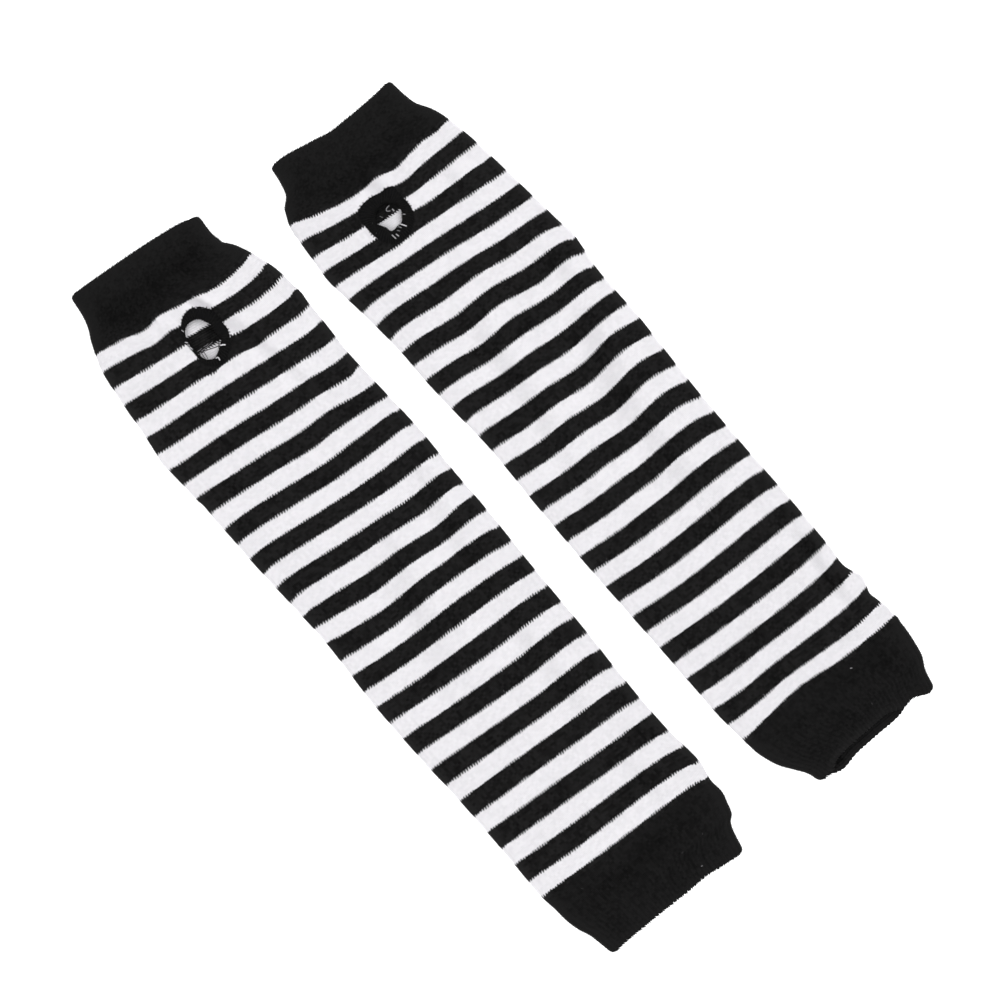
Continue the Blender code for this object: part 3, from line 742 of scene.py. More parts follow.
TURN = 2 * math.pi
SOCKET_KINDS = {float: "Float", int: "Int", type(None): "Material"}
STREAK_WIDTH = 0.45  # streaks to a wale
STREAK_LENGTH = 0.07  # streaks to a course
UNEVEN_DETAIL = 3.0
INNER_SHARE = 0.25  # cloth deeper in its wall than this is its inside
THREAD_BEND = 0.4  # how squarely the overlocking thread turns over the edge
THREAD_SIDES = 6
FIBRE_SIDES = 3
FIBRE_STEPS = 3
FIBRE_BEND = 0.45
FIBRE_LEAN = 1.2  # radians
FIBRE_SIZES = (0.4, 1.2)
PLY_SWING = 0.22  # how far each ply lies from the middle of its yarn, and how thick it is
PLY_RADIUS = 0.29


def sign(operation, swapped=False):
    """What one of Python's signs does with a node's value: it adds a node for that sum."""

    def add_sum(self, *others):
        values = (*others, self) if swapped else (self, *others)
        return self.nodes.math(operation, *values)

    return add_sum


class Value:
    """What a node gives out, for sums written with the usual signs."""

    __add__ = sign("ADD")
    __sub__ = sign("SUBTRACT")
    __rsub__ = sign("SUBTRACT", swapped=True)
    __mul__ = sign("MULTIPLY")
    __truediv__ = sign("DIVIDE")
    __rtruediv__ = sign("DIVIDE", swapped=True)
    __pow__ = sign("POWER")
    __mod__ = sign("FLOORED_MODULO")
    __abs__ = sign("ABSOLUTE")

    def __init__(self, nodes, socket):
        self.nodes = nodes
        self.socket = socket


class Nodes:
    """Short words for building a node tree."""

    def __init__(self, tree):
        self.tree = tree

    def put(self, socket, value):
        value = value.socket if isinstance(value, Value) else value
        if isinstance(value, bpy.types.NodeSocket):
            self.tree.links.new(value, socket)
        else:
            socket.default_value = value

    def add(self, kind, inputs=None, **settings):
        node = self.tree.nodes.new(kind)
        for name, value in settings.items():
            setattr(node, name, value)
        for name, value in (inputs or {}).items():
            self.put(node.inputs[name], value)
        return node

    def take(self, kind, inputs=None, output=0, **settings):
        """Adds a node and takes what it gives out."""
        return Value(self, self.add(kind, inputs, **settings).outputs[output])

    def math(self, operation, *values):
        return self.take("ShaderNodeMath", dict(enumerate(values)), operation=operation)

    sine = partialmethod(math, "SINE")
    cosine = partialmethod(math, "COSINE")
    floor = partialmethod(math, "FLOOR")
    fract = partialmethod(math, "FRACT")

    def vector(self, operation, *values):
        return self.take("ShaderNodeVectorMath", dict(enumerate(values)), "Vector", operation=operation)

    def scaled(self, vector, factor):
        inputs = {"Vector": vector, "Scale": factor}
        return self.take("ShaderNodeVectorMath", inputs, "Vector", operation="SCALE")

    def join_xyz(self, *parts):
        return self.take("ShaderNodeCombineXYZ", dict(enumerate(parts)))

    def split(self, vector):
        outputs = self.add("ShaderNodeSeparateXYZ", {0: vector}).outputs
        return [Value(self, output) for output in outputs]

    def ramp(self, value, low, high, to_low=0.0, to_high=1.0, smooth=False):
        inputs = dict(enumerate((value, low, high, to_low, to_high)))
        kind = "SMOOTHSTEP" if smooth else "LINEAR"
        return self.take("ShaderNodeMapRange", inputs, "Result", interpolation_type=kind)

    def between(self, share, first, second):
        """The first number where the share is 0, and the second where it is 1."""
        return self.ramp(share, 0.0, 1.0, first, second)

    def mix(self, share, first, second):
        return self.take("ShaderNodeMix", {0: share, 6: first, 7: second}, 2, data_type="RGBA")

    def noise(self, place, scale, detail=2.0, seed=None):
        """A soft noise from 0 to 1. A seed picks another of its kind."""
        inputs = {"Vector": place, "Scale": scale, "Detail": detail}
        if seed is None:
            return self.take("ShaderNodeTexNoise", inputs)
        return self.take("ShaderNodeTexNoise", {**inputs, "W": seed}, noise_dimensions="4D")

    def named(self, name, kind="FLOAT"):
        """A named value that the geometry carries."""
        return self.take("GeometryNodeInputNamedAttribute", {"Name": name}, data_type=kind)

    def random(self, low, high, **more):
        inputs = {2: low, 3: high, **more}
        return self.take("FunctionNodeRandomValue", inputs, 1, data_type="FLOAT")

    def moved(self, geometry, offset):
        return self.take("GeometryNodeSetPosition", {"Geometry": geometry, "Offset": offset})

    def to_curve(self, mesh):
        return self.take("GeometryNodeMeshToCurve", {"Mesh": mesh})

    def tube(self, curve, radius, sides, **more):
        """A tube along a curve."""
        profile = self.take("GeometryNodeCurvePrimitiveCircle", {"Resolution": sides, "Radius": radius})
        return self.take("GeometryNodeCurveToMesh", {"Curve": curve, "Profile Curve": profile, **more})


def geometry_tree(name, inputs):
    """A Geometry Nodes tree with a geometry going in and out, and inputs named for its sizes, each with
    what it is where a piece says nothing else."""
    tree = bpy.data.node_groups.new(name, "GeometryNodeTree")

    def add_socket(label, way, kind):
        return tree.interface.new_socket(name=label, in_out=way, socket_type=f"NodeSocket{kind}")

    add_socket("Geometry", "INPUT", "Geometry")
    for label, value in inputs.items():
        socket = add_socket(label, "INPUT", SOCKET_KINDS[type(value)])
        if value is not None:
            socket.default_value = value
    add_socket("Geometry", "OUTPUT", "Geometry")
    n = Nodes(tree)
    given = n.add("NodeGroupInput").outputs
    return n, {label: Value(n, given[label]) for label in ("Geometry", *inputs)}


def finish_tree(n, geometry, material, other=None, where=None):
    """Ends a tree: its instances are made real and get a material, and another where a selection says."""
    made = n.take("GeometryNodeRealizeInstances", {"Geometry": geometry})
    made = n.take("GeometryNodeSetMaterial", {"Geometry": made, "Material": material})
    if other:
        inputs = {"Geometry": made, "Material": other, "Selection": where}
        made = n.take("GeometryNodeSetMaterial", inputs)
    n.put(n.add("NodeGroupOutput").inputs["Geometry"], made)
    return n.tree


def wale_streaks(n, wale, course, seed):
    """A noise about 0 that runs in long streaks along the wales, and closes round the tube."""
    turn = wale * (TURN / WALES)
    radius = WALES / TURN * STREAK_WIDTH
    place = n.join_xyz(n.cosine(turn) * radius, n.sine(turn) * radius, course * STREAK_LENGTH)
    return n.noise(place, 1.0, seed=seed) - 0.5


def knit_relief_tree():
    """Raises the wales of a cloth into rounded ridges, and its ribs, and makes it slightly uneven."""
    sizes = {
        "Wale Height": 0.12 * MM,
        "Rib Height": 0.0,
        "Wales in a Rib": 2.0,
        "Unevenness": 0.22 * MM,
        "Uneven Length": 6 * MM,
        "Streaks": 0.1 * MM,
    }
    n, given = geometry_tree("knit relief", {**sizes, "Seed": 1.0, "Face": None, "Inside": None})
    turn = n.named("wale") * TURN
    wale = n.cosine(turn) * (given["Wale Height"] * -0.5)
    rib = n.cosine(turn / given["Wales in a Rib"]) * (given["Rib Height"] * -0.5) * n.named("ribbed")
    place = n.take("GeometryNodeInputPosition")
    noise = n.noise(place, 1.0 / given["Uneven Length"], UNEVEN_DETAIL, given["Seed"])
    streak = wale_streaks(n, n.named("wale"), n.named("course"), given["Seed"])
    uneven = (noise - 0.5) * given["Unevenness"] + streak * given["Streaks"]
    outer = n.named("outer")
    normal = n.take("GeometryNodeInputNormal", None, "Normal")
    moved = n.moved(given["Geometry"], n.scaled(normal, (wale + rib + uneven) * outer))
    ends = {0: outer, 1: INNER_SHARE}
    inside = n.take("FunctionNodeCompare", ends, data_type="FLOAT", operation="LESS_THAN")
    return finish_tree(n, moved, given["Face"], given["Inside"], inside)


def overlock_tree():
    """Winds a thread round a band: the geometry is the band's inner line, and "across" the way from
    there to its outer line."""
    sizes = {
        "Turns": 54,
        "Points in a Turn": 14,
        "Thread": 0.45 * MM,
        "Half Height": 0.95 * MM,
        "Overhang": 0.03,
        "Reach": 1.0,
        "Slant": 0.0,
        "Looseness": 0.05,
    }
    n, given = geometry_tree("overlock winding", {**sizes, "Seed": 1, "Material": None})
    line = {"Curve": n.to_curve(given["Geometry"]), "Count": given["Turns"] * given["Points in a Turn"]}
    line = n.take("GeometryNodeResampleCurve", line, mode="COUNT")
    turn = n.take("GeometryNodeInputIndex") / given["Points in a Turn"]
    loose = n.random(-1.0, 1.0, ID=n.floor(turn), Seed=given["Seed"]) * given["Looseness"]
    angle = turn * TURN
    swing = 0.5 - n.cosine(angle) * 0.5
    reach = swing * (given["Reach"] * (loose + 1.0)) - given["Overhang"] * n.cosine(angle)
    rise = n.sine(angle)
    up = n.math("SIGN", rise) * abs(rise) ** THREAD_BEND * given["Half Height"]
    offset = n.vector("ADD", n.scaled(n.named("across", "FLOAT_VECTOR"), reach), n.join_xyz(0.0, 0.0, up))
    tangent = n.take("GeometryNodeInputTangent")
    offset = n.vector("ADD", offset, n.scaled(tangent, swing * given["Slant"]))
    thread = n.tube(n.moved(line, offset), given["Thread"] * 0.5, THREAD_SIDES)
    return finish_tree(n, thread, given["Material"])


def fuzz_tree():
    """Grows short bent fibres on a cloth: the geometry is the cloth, "fuzz" how many of them grow at a
    place, and "tone" how light its yarn is."""
    sizes = {"Density": 4.0e6, "Length": 0.9 * MM, "Thickness": 0.05 * MM}
    n, given = geometry_tree("fuzz", {**sizes, "Seed": 1, "Material": None})
    seed = {"Seed": given["Seed"]}
    density = n.named("fuzz") * given["Density"]
    roots = {"Mesh": given["Geometry"], "Density": density, **seed}
    roots = n.add("GeometryNodeDistributePointsOnFaces", roots).outputs
    line = {"Count": FIBRE_STEPS + 1, "Offset": (0.0, 0.0, 1.0 / FIBRE_STEPS)}
    line = n.take("GeometryNodeMeshLine", line)
    up = n.split(n.take("GeometryNodeInputPosition"))[2]
    bent = n.to_curve(n.moved(line, n.join_xyz(up * up * FIBRE_BEND, 0.0, 0.0)))
    fibre = n.tube(bent, given["Thickness"] / (given["Length"] * 2.0), FIBRE_SIDES)
    lean = {0: (-FIBRE_LEAN, -FIBRE_LEAN, 0.0), 1: (FIBRE_LEAN, FIBRE_LEAN, TURN), **seed}
    lean = n.take("FunctionNodeRandomValue", lean, data_type="FLOAT_VECTOR")
    turned = {"Rotation": roots["Rotation"], "Rotate By": lean}
    turned = n.take("FunctionNodeRotateRotation", turned, rotation_space="LOCAL")
    size = n.random(*FIBRE_SIZES, **seed) * given["Length"]
    grown = {"Points": roots["Points"], "Instance": fibre, "Rotation": turned, "Scale": size}
    return finish_tree(n, n.take("GeometryNodeInstanceOnPoints", grown), given["Material"])


def yarn_tree():
    """Turns lines into two-ply yarn: the geometry's edges are the lines, and "thickness" is the yarn's."""
    sizes = {"Twist Length": 1.6 * MM, "Step": 0.2 * MM}
    n, given = geometry_tree("two-ply yarn", {**sizes, "Material": None})
    curve = {"Curve": n.to_curve(given["Geometry"])}
    curve = n.take("GeometryNodeCurveSplineType", curve, spline_type="CATMULL_ROM")
    line = n.take("GeometryNodeResampleCurve", {"Curve": curve, "Length": given["Step"]}, mode="LENGTH")
    normal = n.take("GeometryNodeInputNormal", None, "Normal")
    beside = n.vector("CROSS_PRODUCT", n.take("GeometryNodeInputTangent"), normal)
    thickness = n.named("thickness")
    turn = n.take("GeometryNodeSplineParameter", None, "Length") / given["Twist Length"] * TURN
    plies = n.add("GeometryNodeJoinGeometry")
    for start in (0.0, math.pi):
        angle = turn + start
        away = n.vector("ADD", n.scaled(normal, n.cosine(angle)), n.scaled(beside, n.sine(angle)))
        ply = n.moved(line, n.scaled(away, thickness * PLY_SWING))
        ply = n.tube(ply, 1.0, THREAD_SIDES, **{"Scale": thickness * PLY_RADIUS, "Fill Caps": True})
        n.put(plies.inputs["Geometry"], ply)
    return finish_tree(n, plies.outputs["Geometry"], given["Material"])


def take_result(piece):
    """Replaces a piece's mesh by what its modifiers make of it."""
    graph = bpy.context.evaluated_depsgraph_get()
    graph.update()
    made = bpy.data.meshes.new_from_object(
        piece.evaluated_get(graph), preserve_all_data_layers=True, depsgraph=graph
    )
    old = piece.data
    piece.modifiers.clear()
    piece.data = made
    bpy.data.meshes.remove(old)
    made.name = piece.name


def apply_tree(piece, tree, values):
    """Runs a tree on a piece with these inputs, and leaves the result as its plain mesh."""
    modifier = piece.modifiers.new(tree.name, "NODES")
    modifier.node_group = tree
    identifiers = {s.name: s.identifier for s in tree.interface.items_tree if s.in_out == "INPUT"}
    for name, value in values.items():
        modifier[identifiers[name]] = value
    take_result(piece)


def smooth_piece(name, mesh, tree, values):
    """A piece that a tree makes from a mesh."""
    piece = add_object(name, mesh)
    apply_tree(piece, tree, values)
    piece.data.shade_smooth()
    return piece


# ---- finishes ----

WHITE_YARN = (0.84, 0.825, 0.855, 1.0)
WHITE_SHADE = (0.66, 0.65, 0.675, 1.0)  # between the stitches
BLACK_YARN = (0.0132, 0.0129, 0.0130, 1.0)
BLACK_SHADE = (0.0008, 0.0008, 0.0008, 1.0)
CUFF_BLACK = (0.0102, 0.0100, 0.0101, 1.0)
LIP_BLACK = (0.0153, 0.015, 0.0152, 1.0)  # where the gaping lip rolls over and catches the light
BLACK_THREAD = (0.0065, 0.0065, 0.007, 1.0)
DULL = {"Metallic": 0.0, "Roughness": 0.92, "Specular IOR Level": 0.08}
SHEEN = {"Sheen Weight": 0.022, "Sheen Roughness": 0.45}

# The row of pointed stitches that each stripe starts in, in courses. Of each pair of numbers, the first
# is for a white stripe's start and the second for a black one's.
POINT_LEAN = 0.3  # how far, in wales, the points lean over in one course
POINT_LENGTH = (1.25, 0.9)
POINT_SHAPE = (0.65, 1.4)  # blunt under 1, sharp over 1
POINT_JITTER = 0.26
STARTS_LATE = (0.32, 0.12)
STRETCHES = (0.35, 0.62, 0.35, 1.25)  # the points are short in some stretches of a line and long in others
SOFT_EDGE = 0.1
COURSE_WANDER = 0.15
STITCH_SLANT = 1.6  # how steeply, in courses, a stitch's two legs run

# How unevenly light yarn is, with its painted highlight along folds and ends and its painted shade in
# creases: the first number for the sleeve's black and the second for its white
SLEEVE_LOOKS = {
    "edge_highlight": (1.1, 0.05),
    "shade_strength": (0.25, 0.75),
    "streaked": (0.8, 0.3),
    "uneven": (0.85, 0.5),
}
# how narrowly the sleeve's painted highlight hugs its folds and ends
SLEEVE_HIGHLIGHT_SHARPNESS = 3.2
# how strong the cuffs' painted shade in creases and the gaping mouth is, and how streaked and uneven their
# yarn is
CUFF_LOOKS = {"shade_strength": 0.3, "streaked": 0.7, "uneven": 0.65}
LIGHTNESS_RANGE = (-0.15, 1.1)  # from a yarn's shade to its full light
WRAP_RANGE = (0.2, 1.4)  # the same for the thread wrapped round the thumb hole's edge
YARN_SEED = 3.0

# How fine each grain is
COURSE_GRAIN = (2.7, 1.9, 0.0)
STRETCH_GRAIN = 0.16
STRETCH_STEP = 5.3
CLOUD_GRAIN = 70.0
FIBRE_GRAIN = 5200.0
TWIST_GRAIN = 2600.0
WRAP_GRAIN = (0.9, 6.0, 0.0)
CLOUD_DETAIL = 4.0
WRAP_DETAIL = 3.0

# How high things stand: shares of the whole relief, then each relief's depth in metres and its strength
LEG_ROUNDNESS = 0.6
LEG_RELIEF = (0.55, 0.45)
LOOP_RELIEF = (0.5, 0.5)
FIBRE_RELIEF = 0.35
WRAP_RELIEF = 0.8
STITCH_BUMP = (0.00022, 0.6)
TWIST_BUMP = (0.0001, 0.5)
WRAP_BUMP = (0.00025, 0.7)
FIBRE_ROUGHNESS = (0.2, 0.8, 0.84, 1.0)


class Finish(Nodes):
    """A material's nodes, round a shader that has no shine of its own."""

    def __init__(self, name):
        self.material = bpy.data.materials.new(name)
        self.material.use_nodes = True
        super().__init__(self.material.node_tree)
        self.dress(DULL)

    def dress(self, looks):
        """Gives the shader these looks."""
        for name, value in looks.items():
            self.put(self.tree.nodes["Principled BSDF"].inputs[name], value)

    def emboss(self, height, distance, strength):
        inputs = {"Height": height, "Distance": distance, "Strength": strength}
        self.dress({"Normal": self.take("ShaderNodeBump", inputs)})

    def attribute(self, name):
        return self.take("ShaderNodeAttribute", None, "Fac", attribute_name=name)

    def place(self):
        return self.take("ShaderNodeTexCoord", None, "Object")

    def chance(self, wale, row):
        """A number from 0 to 1, another for each wale of each row."""
        each = {"Vector": self.join_xyz(self.floor(wale), row, 0.0)}
        return self.take("ShaderNodeTexWhiteNoise", each, "Value", noise_dimensions="2D")


def wale_off(n, wale):
    """How far a wale number is from the middle of its wale, from 0 to 1 at the line between two wales."""
    return abs(n.fract(wale) - 0.5) * 2.0


def knit_place(n):
    """A surface point's place in the knit: its wale number and its course number, which wanders a bit."""
    knit = n.take("ShaderNodeUVMap", uv_map="knit")
    wale, course, _ = n.split(knit)
    wander = n.noise(n.vector("MULTIPLY", knit, COURSE_GRAIN), 1.0)
    return wale, course + (wander - 0.5) * COURSE_WANDER


def is_white(n, wale, course):
    """1 in the white stripes and 0 in the black ones. Each stripe starts in a row of pointed stitches,
    whose points lean and are towards the hand, and the white ones are the longer."""
    line = n.floor(course / COURSES + 0.5)
    odd = line % 2.0
    off = wale_off(n, wale + (course - line * COURSES) * POINT_LEAN)
    shape = n.ramp(off, 0.0, 1.0, smooth=True) ** n.between(odd, *POINT_SHAPE)
    stretch = n.noise(n.join_xyz(wale, line * STRETCH_STEP, 0.0), STRETCH_GRAIN)
    point = n.between(odd, *POINT_LENGTH) * n.ramp(stretch, *STRETCHES)
    jitter = (n.chance(wale, line) - 0.5) * POINT_JITTER
    shifted = course - (shape - 0.5) * point + jitter - n.between(odd, *STARTS_LATE)
    past = n.ramp(shifted - line * COURSES, -SOFT_EDGE, SOFT_EDGE, smooth=True)
    return abs(past - odd)


def stitch_height(n, wale, course):
    """The relief of jersey's face: each wale is a column of V shapes, whose two legs stand up."""
    off = wale_off(n, wale)
    leg = n.sine(off * math.pi)
    row = abs(n.sine((course - off * STITCH_SLANT) * math.pi))
    return leg**LEG_ROUNDNESS * (row * LEG_RELIEF[0] + LEG_RELIEF[1])


def loop_height(n, wale, course):
    """The relief of jersey's back: rows of small round loops, each row set off by half a wale."""
    row = n.sine(n.fract(course) * math.pi)
    step = n.floor(course) % 2.0 * 0.5
    column = abs(n.sine((wale + step) * math.pi))
    return row * (column * LOOP_RELIEF[0] + LOOP_RELIEF[1])


def dress_knit(n, wale, course, purl, light, shade, edge_highlight, shade_strength, streaked, uneven):
    """Gives a knit the relief of its face or, where purl is true, of its back. Its colour gets painted
    shade between the stitches and in the creases and the gaping mouth, and a painted highlight along the
    folds and ends, each by its own argument's amount. The yarn varies in streaks along the wales, by
    streaked much, and by uneven much from stitch to stitch and in soft clouds."""
    height = loop_height(n, wale, course) if purl else stitch_height(n, wale, course)
    place = n.place()
    cloud = n.noise(place, CLOUD_GRAIN, CLOUD_DETAIL)
    fibre = n.noise(place, FIBRE_GRAIN)
    chance = n.chance(wale, n.floor(course))
    lightness = height + (chance - 0.5) * uneven + (cloud - 0.5) * uneven
    lightness = lightness + wale_streaks(n, wale, course, YARN_SEED) * streaked
    # painted shade in the creases and the gaping mouth, and a painted highlight along the folds and ends
    lightness = lightness - n.attribute("painted_shade") * shade_strength + edge_highlight
    n.dress({"Base Color": n.mix(n.ramp(lightness, *LIGHTNESS_RANGE), shade, light), **SHEEN})
    n.dress({"Roughness": n.ramp(fibre, *FIBRE_ROUGHNESS)})
    n.emboss(height + fibre * FIBRE_RELIEF, *STITCH_BUMP)


def striped_knit(name, purl):
    """The sleeve's cloth."""
    n = Finish(name)
    wale, course = knit_place(n)
    white = is_white(n, wale, course)
    light = n.mix(white, BLACK_YARN, WHITE_YARN)
    shade = n.mix(white, BLACK_SHADE, WHITE_SHADE)
    looks = {look: n.between(white, *amounts) for look, amounts in SLEEVE_LOOKS.items()}
    # the sleeve's painted highlight along its folds and ends
    looks["edge_highlight"] = n.attribute("edge") ** SLEEVE_HIGHLIGHT_SHARPNESS * looks["edge_highlight"]
    dress_knit(n, wale, course, purl, light, shade, **looks)
    return n.material


def black_knit(name, purl):
    """The cuffs' cloth."""
    n = Finish(name)
    light = n.mix(n.attribute("lip"), CUFF_BLACK, LIP_BLACK)
    # the edge value gives the cuffs a painted highlight along their folds and ends
    dress_knit(n, *knit_place(n), purl, light, BLACK_SHADE, n.attribute("edge"), **CUFF_LOOKS)
    return n.material


def thread_material(name):
    """Sewing thread and cut yarn, from black to white as "tone" says, with fine twist lines."""
    n = Finish(name)
    grain = n.noise(n.place(), TWIST_GRAIN)
    dark = n.mix(grain, BLACK_SHADE, BLACK_YARN)
    pale = n.mix(grain, WHITE_SHADE, WHITE_YARN)
    n.dress({"Base Color": n.mix(n.attribute("tone"), dark, pale)})
    n.emboss(grain, *TWIST_BUMP)
    return n.material


def band_material(name):
    """The overlocked edge under its windings: cloth wrapped in black thread."""
    n = Finish(name)
    wrap = n.take("ShaderNodeUVMap", uv_map="wrap")
    lines = abs(n.sine(n.split(wrap)[0] * math.pi))
    grain = n.noise(n.vector("MULTIPLY", wrap, WRAP_GRAIN), 1.0, WRAP_DETAIL)
    height = lines + grain * WRAP_RELIEF
    # painted shade between the windings
    n.dress({"Base Color": n.mix(n.ramp(height, *WRAP_RANGE), BLACK_SHADE, BLACK_THREAD)})
    n.emboss(height, *WRAP_BUMP)
    return n.material


# ---- the thumb hole ----

RING_STEPS = 120
BAND_STEPS = 12
BAND_SQUARENESS = 0.5  # how steeply the band rises from its two lines
BAND_SLOPE = 0.4  # how much lower its bulge is at the outer line
UNDER_BAND = 0.5  # how far outside the opening the cloth is cut, under the band
WELL_ABOVE = 0.05  # higher than any cloth, in metres
CUTTER_TOP = 20.0
LINT_LIFTS = ((-0.5, 0.05), (0.0, 0.25), (0.5, 0.1))  # shares of a bit's length, and heights over the cloth


def hole_rings(warmer, grow=0.0):
    """The opening's line and the overlocking's round the thumb hole, each as its places in turn."""
    table = np.array(warmer["hole"], float)
    full_turn = (360.0, 0.0, 0.0)
    closed = np.vstack((table[-1] - full_turn, table, table[:2] + full_turn))
    degrees = np.linspace(0, 360, RING_STEPS, endpoint=False)
    radii = read_table(closed, HOLE_COLUMNS, degrees)
    angle = np.radians(degrees)
    ways = np.stack((np.cos(angle), np.sin(angle)), axis=1)
    middle = np.array(warmer["hole_middle"])
    return [middle + (radii[line] + grow)[:, None] * ways for line in HOLE_COLUMNS[1:]]


def surface_of(warmer, cloth):
    """A function that finds the point of the whole part some mm over a cloth's upper face at a place."""
    polygons = [polygon.vertices for polygon in cloth.data.polygons]
    tree = BVHTree.FromPolygons([point.co for point in cloth.data.vertices], polygons)

    def over(across, along, lift):
        x, y, _ = to_row(warmer, across, along, 0.0)
        hit = tree.ray_cast(Vector((x, y, WELL_ABOVE)), Vector((0.0, 0.0, -1.0)))[0]
        return to_row(warmer, across, along, hit.z / MM + lift)

    return over


def face_outwards(skin):
    """Turns every face of a closed skin outwards."""
    bmesh.ops.recalc_face_normals(skin, faces=skin.faces)


def thumb_band(name, warmer, over, material):
    """The rolled edge of the thumb hole: a soft band from the opening to the overlocking's outer line."""
    points, faces, corners = [], [], []
    for i, (inner, outer) in enumerate(zip(*hole_rings(warmer))):
        for j in range(BAND_STEPS):
            angle = TURN * j / BAND_STEPS
            share = 0.5 - 0.5 * math.cos(angle)
            swell = math.copysign(abs(math.sin(angle)) ** BAND_SQUARENESS, math.sin(angle))
            lift = (WALL / 2 + EDGE_BULGE * (1 - BAND_SLOPE * share)) * swell - WALL / 2
            points.append(over(*(inner + (outer - inner) * share), lift).tolist())
            k, m = (i + 1) % RING_STEPS, (j + 1) % BAND_STEPS
            faces.append([row * BAND_STEPS + step for row, step in ((i, j), (i, m), (k, m), (k, j))])
            corners += [(i, j), (i, j + 1), (i + 1, j + 1), (i + 1, j)]
    mesh = bpy.data.meshes.new(name)
    mesh.from_pydata(points, [], faces)
    wrap = mesh.uv_layers.new(name="wrap")
    wrap.data.foreach_set("uv", np.array(corners, np.float32).ravel())
    skin = bmesh.new()
    skin.from_mesh(mesh)
    face_outwards(skin)
    skin.to_mesh(mesh)
    skin.free()
    mesh.shade_smooth()
    mesh.materials.append(material)
    return add_object(name, mesh)


def rim_line(name, warmer, over):
    """The opening's line as a loop of edges, each point knowing the way across to the outer line."""
    inner, outer = (np.array([over(*place, -WALL / 2) for place in ring]) for ring in hole_rings(warmer))
    mesh = bpy.data.meshes.new(name)
    mesh.from_pydata(inner.tolist(), [(i, (i + 1) % RING_STEPS) for i in range(RING_STEPS)], [])
    across = mesh.attributes.new("across", "FLOAT_VECTOR", "POINT")
    across.data.foreach_set("vector", (outer - inner).astype(np.float32).ravel())
    return mesh


def cut_hole(sleeve, warmer):
    """Cuts the upper layer along a line under the overlocked edge."""
    post = bmesh.new()
    between_layers = course_row(warmer, stripe_at(warmer, *warmer["hole_middle"]))["height"] / 2
    ring = hole_rings(warmer, UNDER_BAND)[0]
    low, high = (
        [post.verts.new(to_row(warmer, *place, height)) for place in ring]
        for height in (between_layers, CUTTER_TOP)
    )
    for i in range(RING_STEPS):
        k = (i + 1) % RING_STEPS
        post.faces.new((low[i], low[k], high[k], high[i]))
    post.faces.new(low)
    post.faces.new(high)
    face_outwards(post)
    mesh = bpy.data.meshes.new("hole cutter")
    post.to_mesh(mesh)
    post.free()
    cutter = add_object("hole cutter", mesh)
    cut = sleeve.modifiers.new("thumb hole", "BOOLEAN")
    cut.operation = "DIFFERENCE"
    cut.object = cutter
    take_result(sleeve)
    bpy.data.objects.remove(cutter, do_unlink=True)


def line_mesh(name, lines):
    """Lines through places as a mesh of edges, each with its tone and its thickness in mm."""
    points, edges, tones, thicknesses = [], [], [], []
    for tone, thickness, places in lines:
        start = len(points)
        points += [tuple(place) for place in places]
        edges += [(start + i, start + i + 1) for i in range(len(places) - 1)]
        tones += [tone] * len(places)
        thicknesses += [thickness * MM] * len(places)
    mesh = bpy.data.meshes.new(name)
    mesh.from_pydata(points, edges, [])
    add_values(mesh, "tone", tones)
    add_values(mesh, "thickness", thicknesses)
    return mesh


def thread_lines(warmer, over):
    """The lines of the loose thread ends at the thumb hole."""
    threads = warmer["threads"]
    return [(tone, thickness, [over(*place) for place in places]) for tone, thickness, places in threads]


def lint_lines(warmer, over):
    """The lines of the bits of lint."""
    lines = []
    for bit in table_rows(warmer["lint"], LINT_COLUMNS):
        turn = math.radians(bit["degrees"])
        route = []
        for share, lift in LINT_LIFTS:
            across = bit["across"] + share * bit["length"] * math.cos(turn)
            along = bit["along"] + share * bit["length"] * math.sin(turn)
            route.append(over(across, along, lift))
        lines.append((bit["tone"], LINT_THICKNESS, route))
    return lines


# ---- fuzz ----

FUZZ_TILT = 0.15  # how far up a face looks where most fibres grow, as the cloth turns over
FUZZ_SPREAD = 0.65  # and how much further up or down it looks where none do
LOWEST_TILT = -0.3
FACE_FUZZ = 0.02  # how many grow elsewhere
FUZZ_FLOOR = 1.2 * MM  # no fibres grow lower than this, so that none reaches the floor


def read_vectors(mesh, kind):
    """A mesh's points or their normals, as "co" or "normal" says."""
    held = np.empty(len(mesh.vertices) * 3, np.float32)
    mesh.vertices.foreach_get(kind, held)
    return held.reshape(-1, 3)


def grow_fuzz(name, pieces, trees, cloths, seed):
    """Short fibres on a warmer's outline and, thinly, on its upper face."""
    parts = []
    for number, (piece, striped) in enumerate(pieces):
        mesh = piece.data.copy()
        up = read_vectors(mesh, "normal")[:, 2]
        level = np.clip(1 - np.abs(up - FUZZ_TILT) / FUZZ_SPREAD, 0, 1)
        outside = read_values(mesh, "outer") > INNER_SHARE
        shown = (up > LOWEST_TILT) & outside & (read_vectors(mesh, "co")[:, 2] > FUZZ_FLOOR)
        add_values(mesh, "fuzz", shown * (level + FACE_FUZZ))
        white = np.floor(read_values(mesh, "course") / COURSES) % 2 == 0
        add_values(mesh, "tone", white & striped)
        part = add_object(f"{name}_{number}", mesh)
        apply_tree(part, trees["fuzz"], {"Seed": seed + number, "Material": cloths["thread"]})
        parts.append(part)
    fuzz = parts[0]
    fuzz.name = name
    joined = bmesh.new()
    for part in parts:
        joined.from_mesh(part.data)
    joined.to_mesh(fuzz.data)
    joined.free()
    for part in parts[1:]:
        bpy.data.objects.remove(part, do_unlink=True)
    fuzz.data.name = name
    return fuzz


# ---- putting a warmer together ----

SEAM = 0.004  # the gap between two pieces of the tube, in stripes
RIB_HEIGHT = 0.5 * MM
RIBS_START = SLEEVE_END + 0.8
RIBS_FULL = SLEEVE_END + 2.0
SHEET_SAMPLES = 9

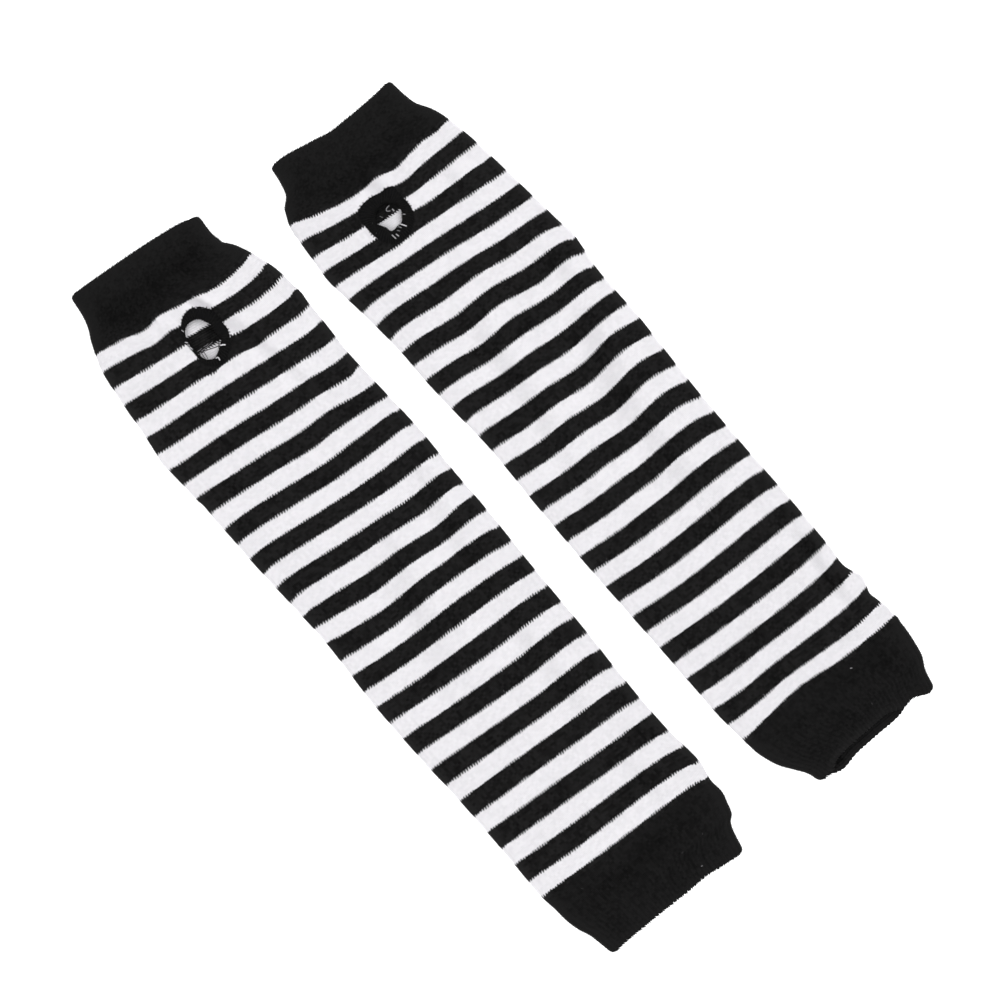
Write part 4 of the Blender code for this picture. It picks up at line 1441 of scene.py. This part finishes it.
# The overlocking has two threads. The first has the sizes that its tree states, and the second is wound
# over it, looser and at a slant.
SECOND_WINDING = {
    "Turns": 47,
    "Thread": 0.35 * MM,
    "Half Height": 1.05 * MM,
    "Overhang": 0.05,
    "Reach": 0.62,
    "Slant": 1.2 * MM,
    "Looseness": 0.25,
}


def mark_ribs(mesh):
    """Marks how strongly each point of the arm cuff is ribbed."""
    stripe = read_values(mesh, "course") / COURSES
    add_values(mesh, "ribbed", np.clip((stripe - RIBS_START) / (RIBS_FULL - RIBS_START), 0, 1))


def arm_warmer(side, warmer, trees, cloths):
    """All the pieces of one warmer."""
    seed = warmer["seed"]
    sleeve_start, sleeve_end = SLEEVE_START - CUFF_TUCK, SLEEVE_END + CUFF_TUCK
    pieces = []
    for label, cloth, start, end, wall, hems, rib in (
        ("sleeve", "striped", sleeve_start, sleeve_end, WALL, (False, False), 0.0),
        ("hand_cuff", "black", HAND_END, sleeve_start - SEAM, CUFF_WALL, (True, False), 0.0),
        ("arm_cuff", "black", sleeve_end + SEAM, ARM_END, CUFF_WALL, (False, True), RIB_HEIGHT),
    ):
        name = f"{side}_{label}_knit"
        mesh = tube_mesh(name, warmer, start, end, wall, hems)
        if rib:
            mark_ribs(mesh)
        faces = {"Face": cloths[cloth], "Inside": cloths[f"{cloth} back"]}
        values = {"Seed": float(seed), "Rib Height": rib, **faces}
        pieces.append(smooth_piece(name, mesh, trees["relief"], values))
    sleeve, hand_cuff, arm_cuff = pieces

    over = surface_of(warmer, sleeve)
    thread = {"Material": cloths["thread"]}
    band = thumb_band(f"{side}_thumb_edge_band", warmer, over, cloths["band"])
    rim = rim_line(f"{side}_rim", warmer, over)
    trimmings = []
    for number, sizes in enumerate(({}, SECOND_WINDING)):
        name = f"{side}_thumb_edge_overlock_{number + 1}"
        values = {**sizes, "Seed": seed + number, **thread}
        trimmings.append(smooth_piece(name, rim.copy(), trees["overlock"], values))
    for label, lines in (
        ("thread_ends", thread_lines(warmer, over)),
        ("lint", lint_lines(warmer, surface_of(warmer, arm_cuff))),
    ):
        name = f"{side}_{label}"
        trimmings.append(smooth_piece(name, line_mesh(name, lines), trees["yarn"], thread))
    cut_hole(sleeve, warmer)
    fuzzy = ((hand_cuff, False), (sleeve, True), (arm_cuff, False))
    trimmings.append(grow_fuzz(f"{side}_fuzz", fuzzy, trees, cloths, seed))

    for piece, slot, node in (
        (sleeve, "striped_knit", f"{side}_sleeve"),
        (hand_cuff, "cuff_knit", f"{side}_hand_cuff"),
        (arm_cuff, "cuff_knit", f"{side}_arm_cuff"),
        (band, "edge_thread", f"{side}_thumb_edge"),
    ):
        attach(piece, "root")
        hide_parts(node)
    for piece in trimmings:
        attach(piece, "root")
    declare_sheets(warmer, sleeve, hand_cuff, arm_cuff)


def declare_sheets(warmer, sleeve, hand_cuff, arm_cuff):
    """Works out each tube's middle line, side folds and mean height at a few places, and keeps none of
    them.
    """
    for piece, start, end in (
        (sleeve, SLEEVE_START, SLEEVE_END),
        (hand_cuff, HAND_END, SLEEVE_START),
        (arm_cuff, SLEEVE_END, ARM_END),
    ):
        stripe = np.linspace(start, end, SHEET_SAMPLES)
        middle = course_along(warmer, stripe, 0.0)
        edges = read_table(warmer["outline"], OUTLINE_COLUMNS, middle)
        height = float(np.mean(course_row(warmer, stripe)["height"]))


def main():
    add_camera()
    add_surroundings()
    trees = {
        "relief": knit_relief_tree(),
        "overlock": overlock_tree(),
        "yarn": yarn_tree(),
        "fuzz": fuzz_tree(),
    }
    cloths = {
        "striped": striped_knit("striped knit", purl=False),
        "striped back": striped_knit("striped knit back", purl=True),
        "black": black_knit("black knit", purl=False),
        "black back": black_knit("black knit back", purl=True),
        "band": band_material("wrapped edge"),
        "thread": thread_material("thread"),
    }
    for side, warmer in WARMERS.items():
        arm_warmer(side, warmer, trees, cloths)


main()
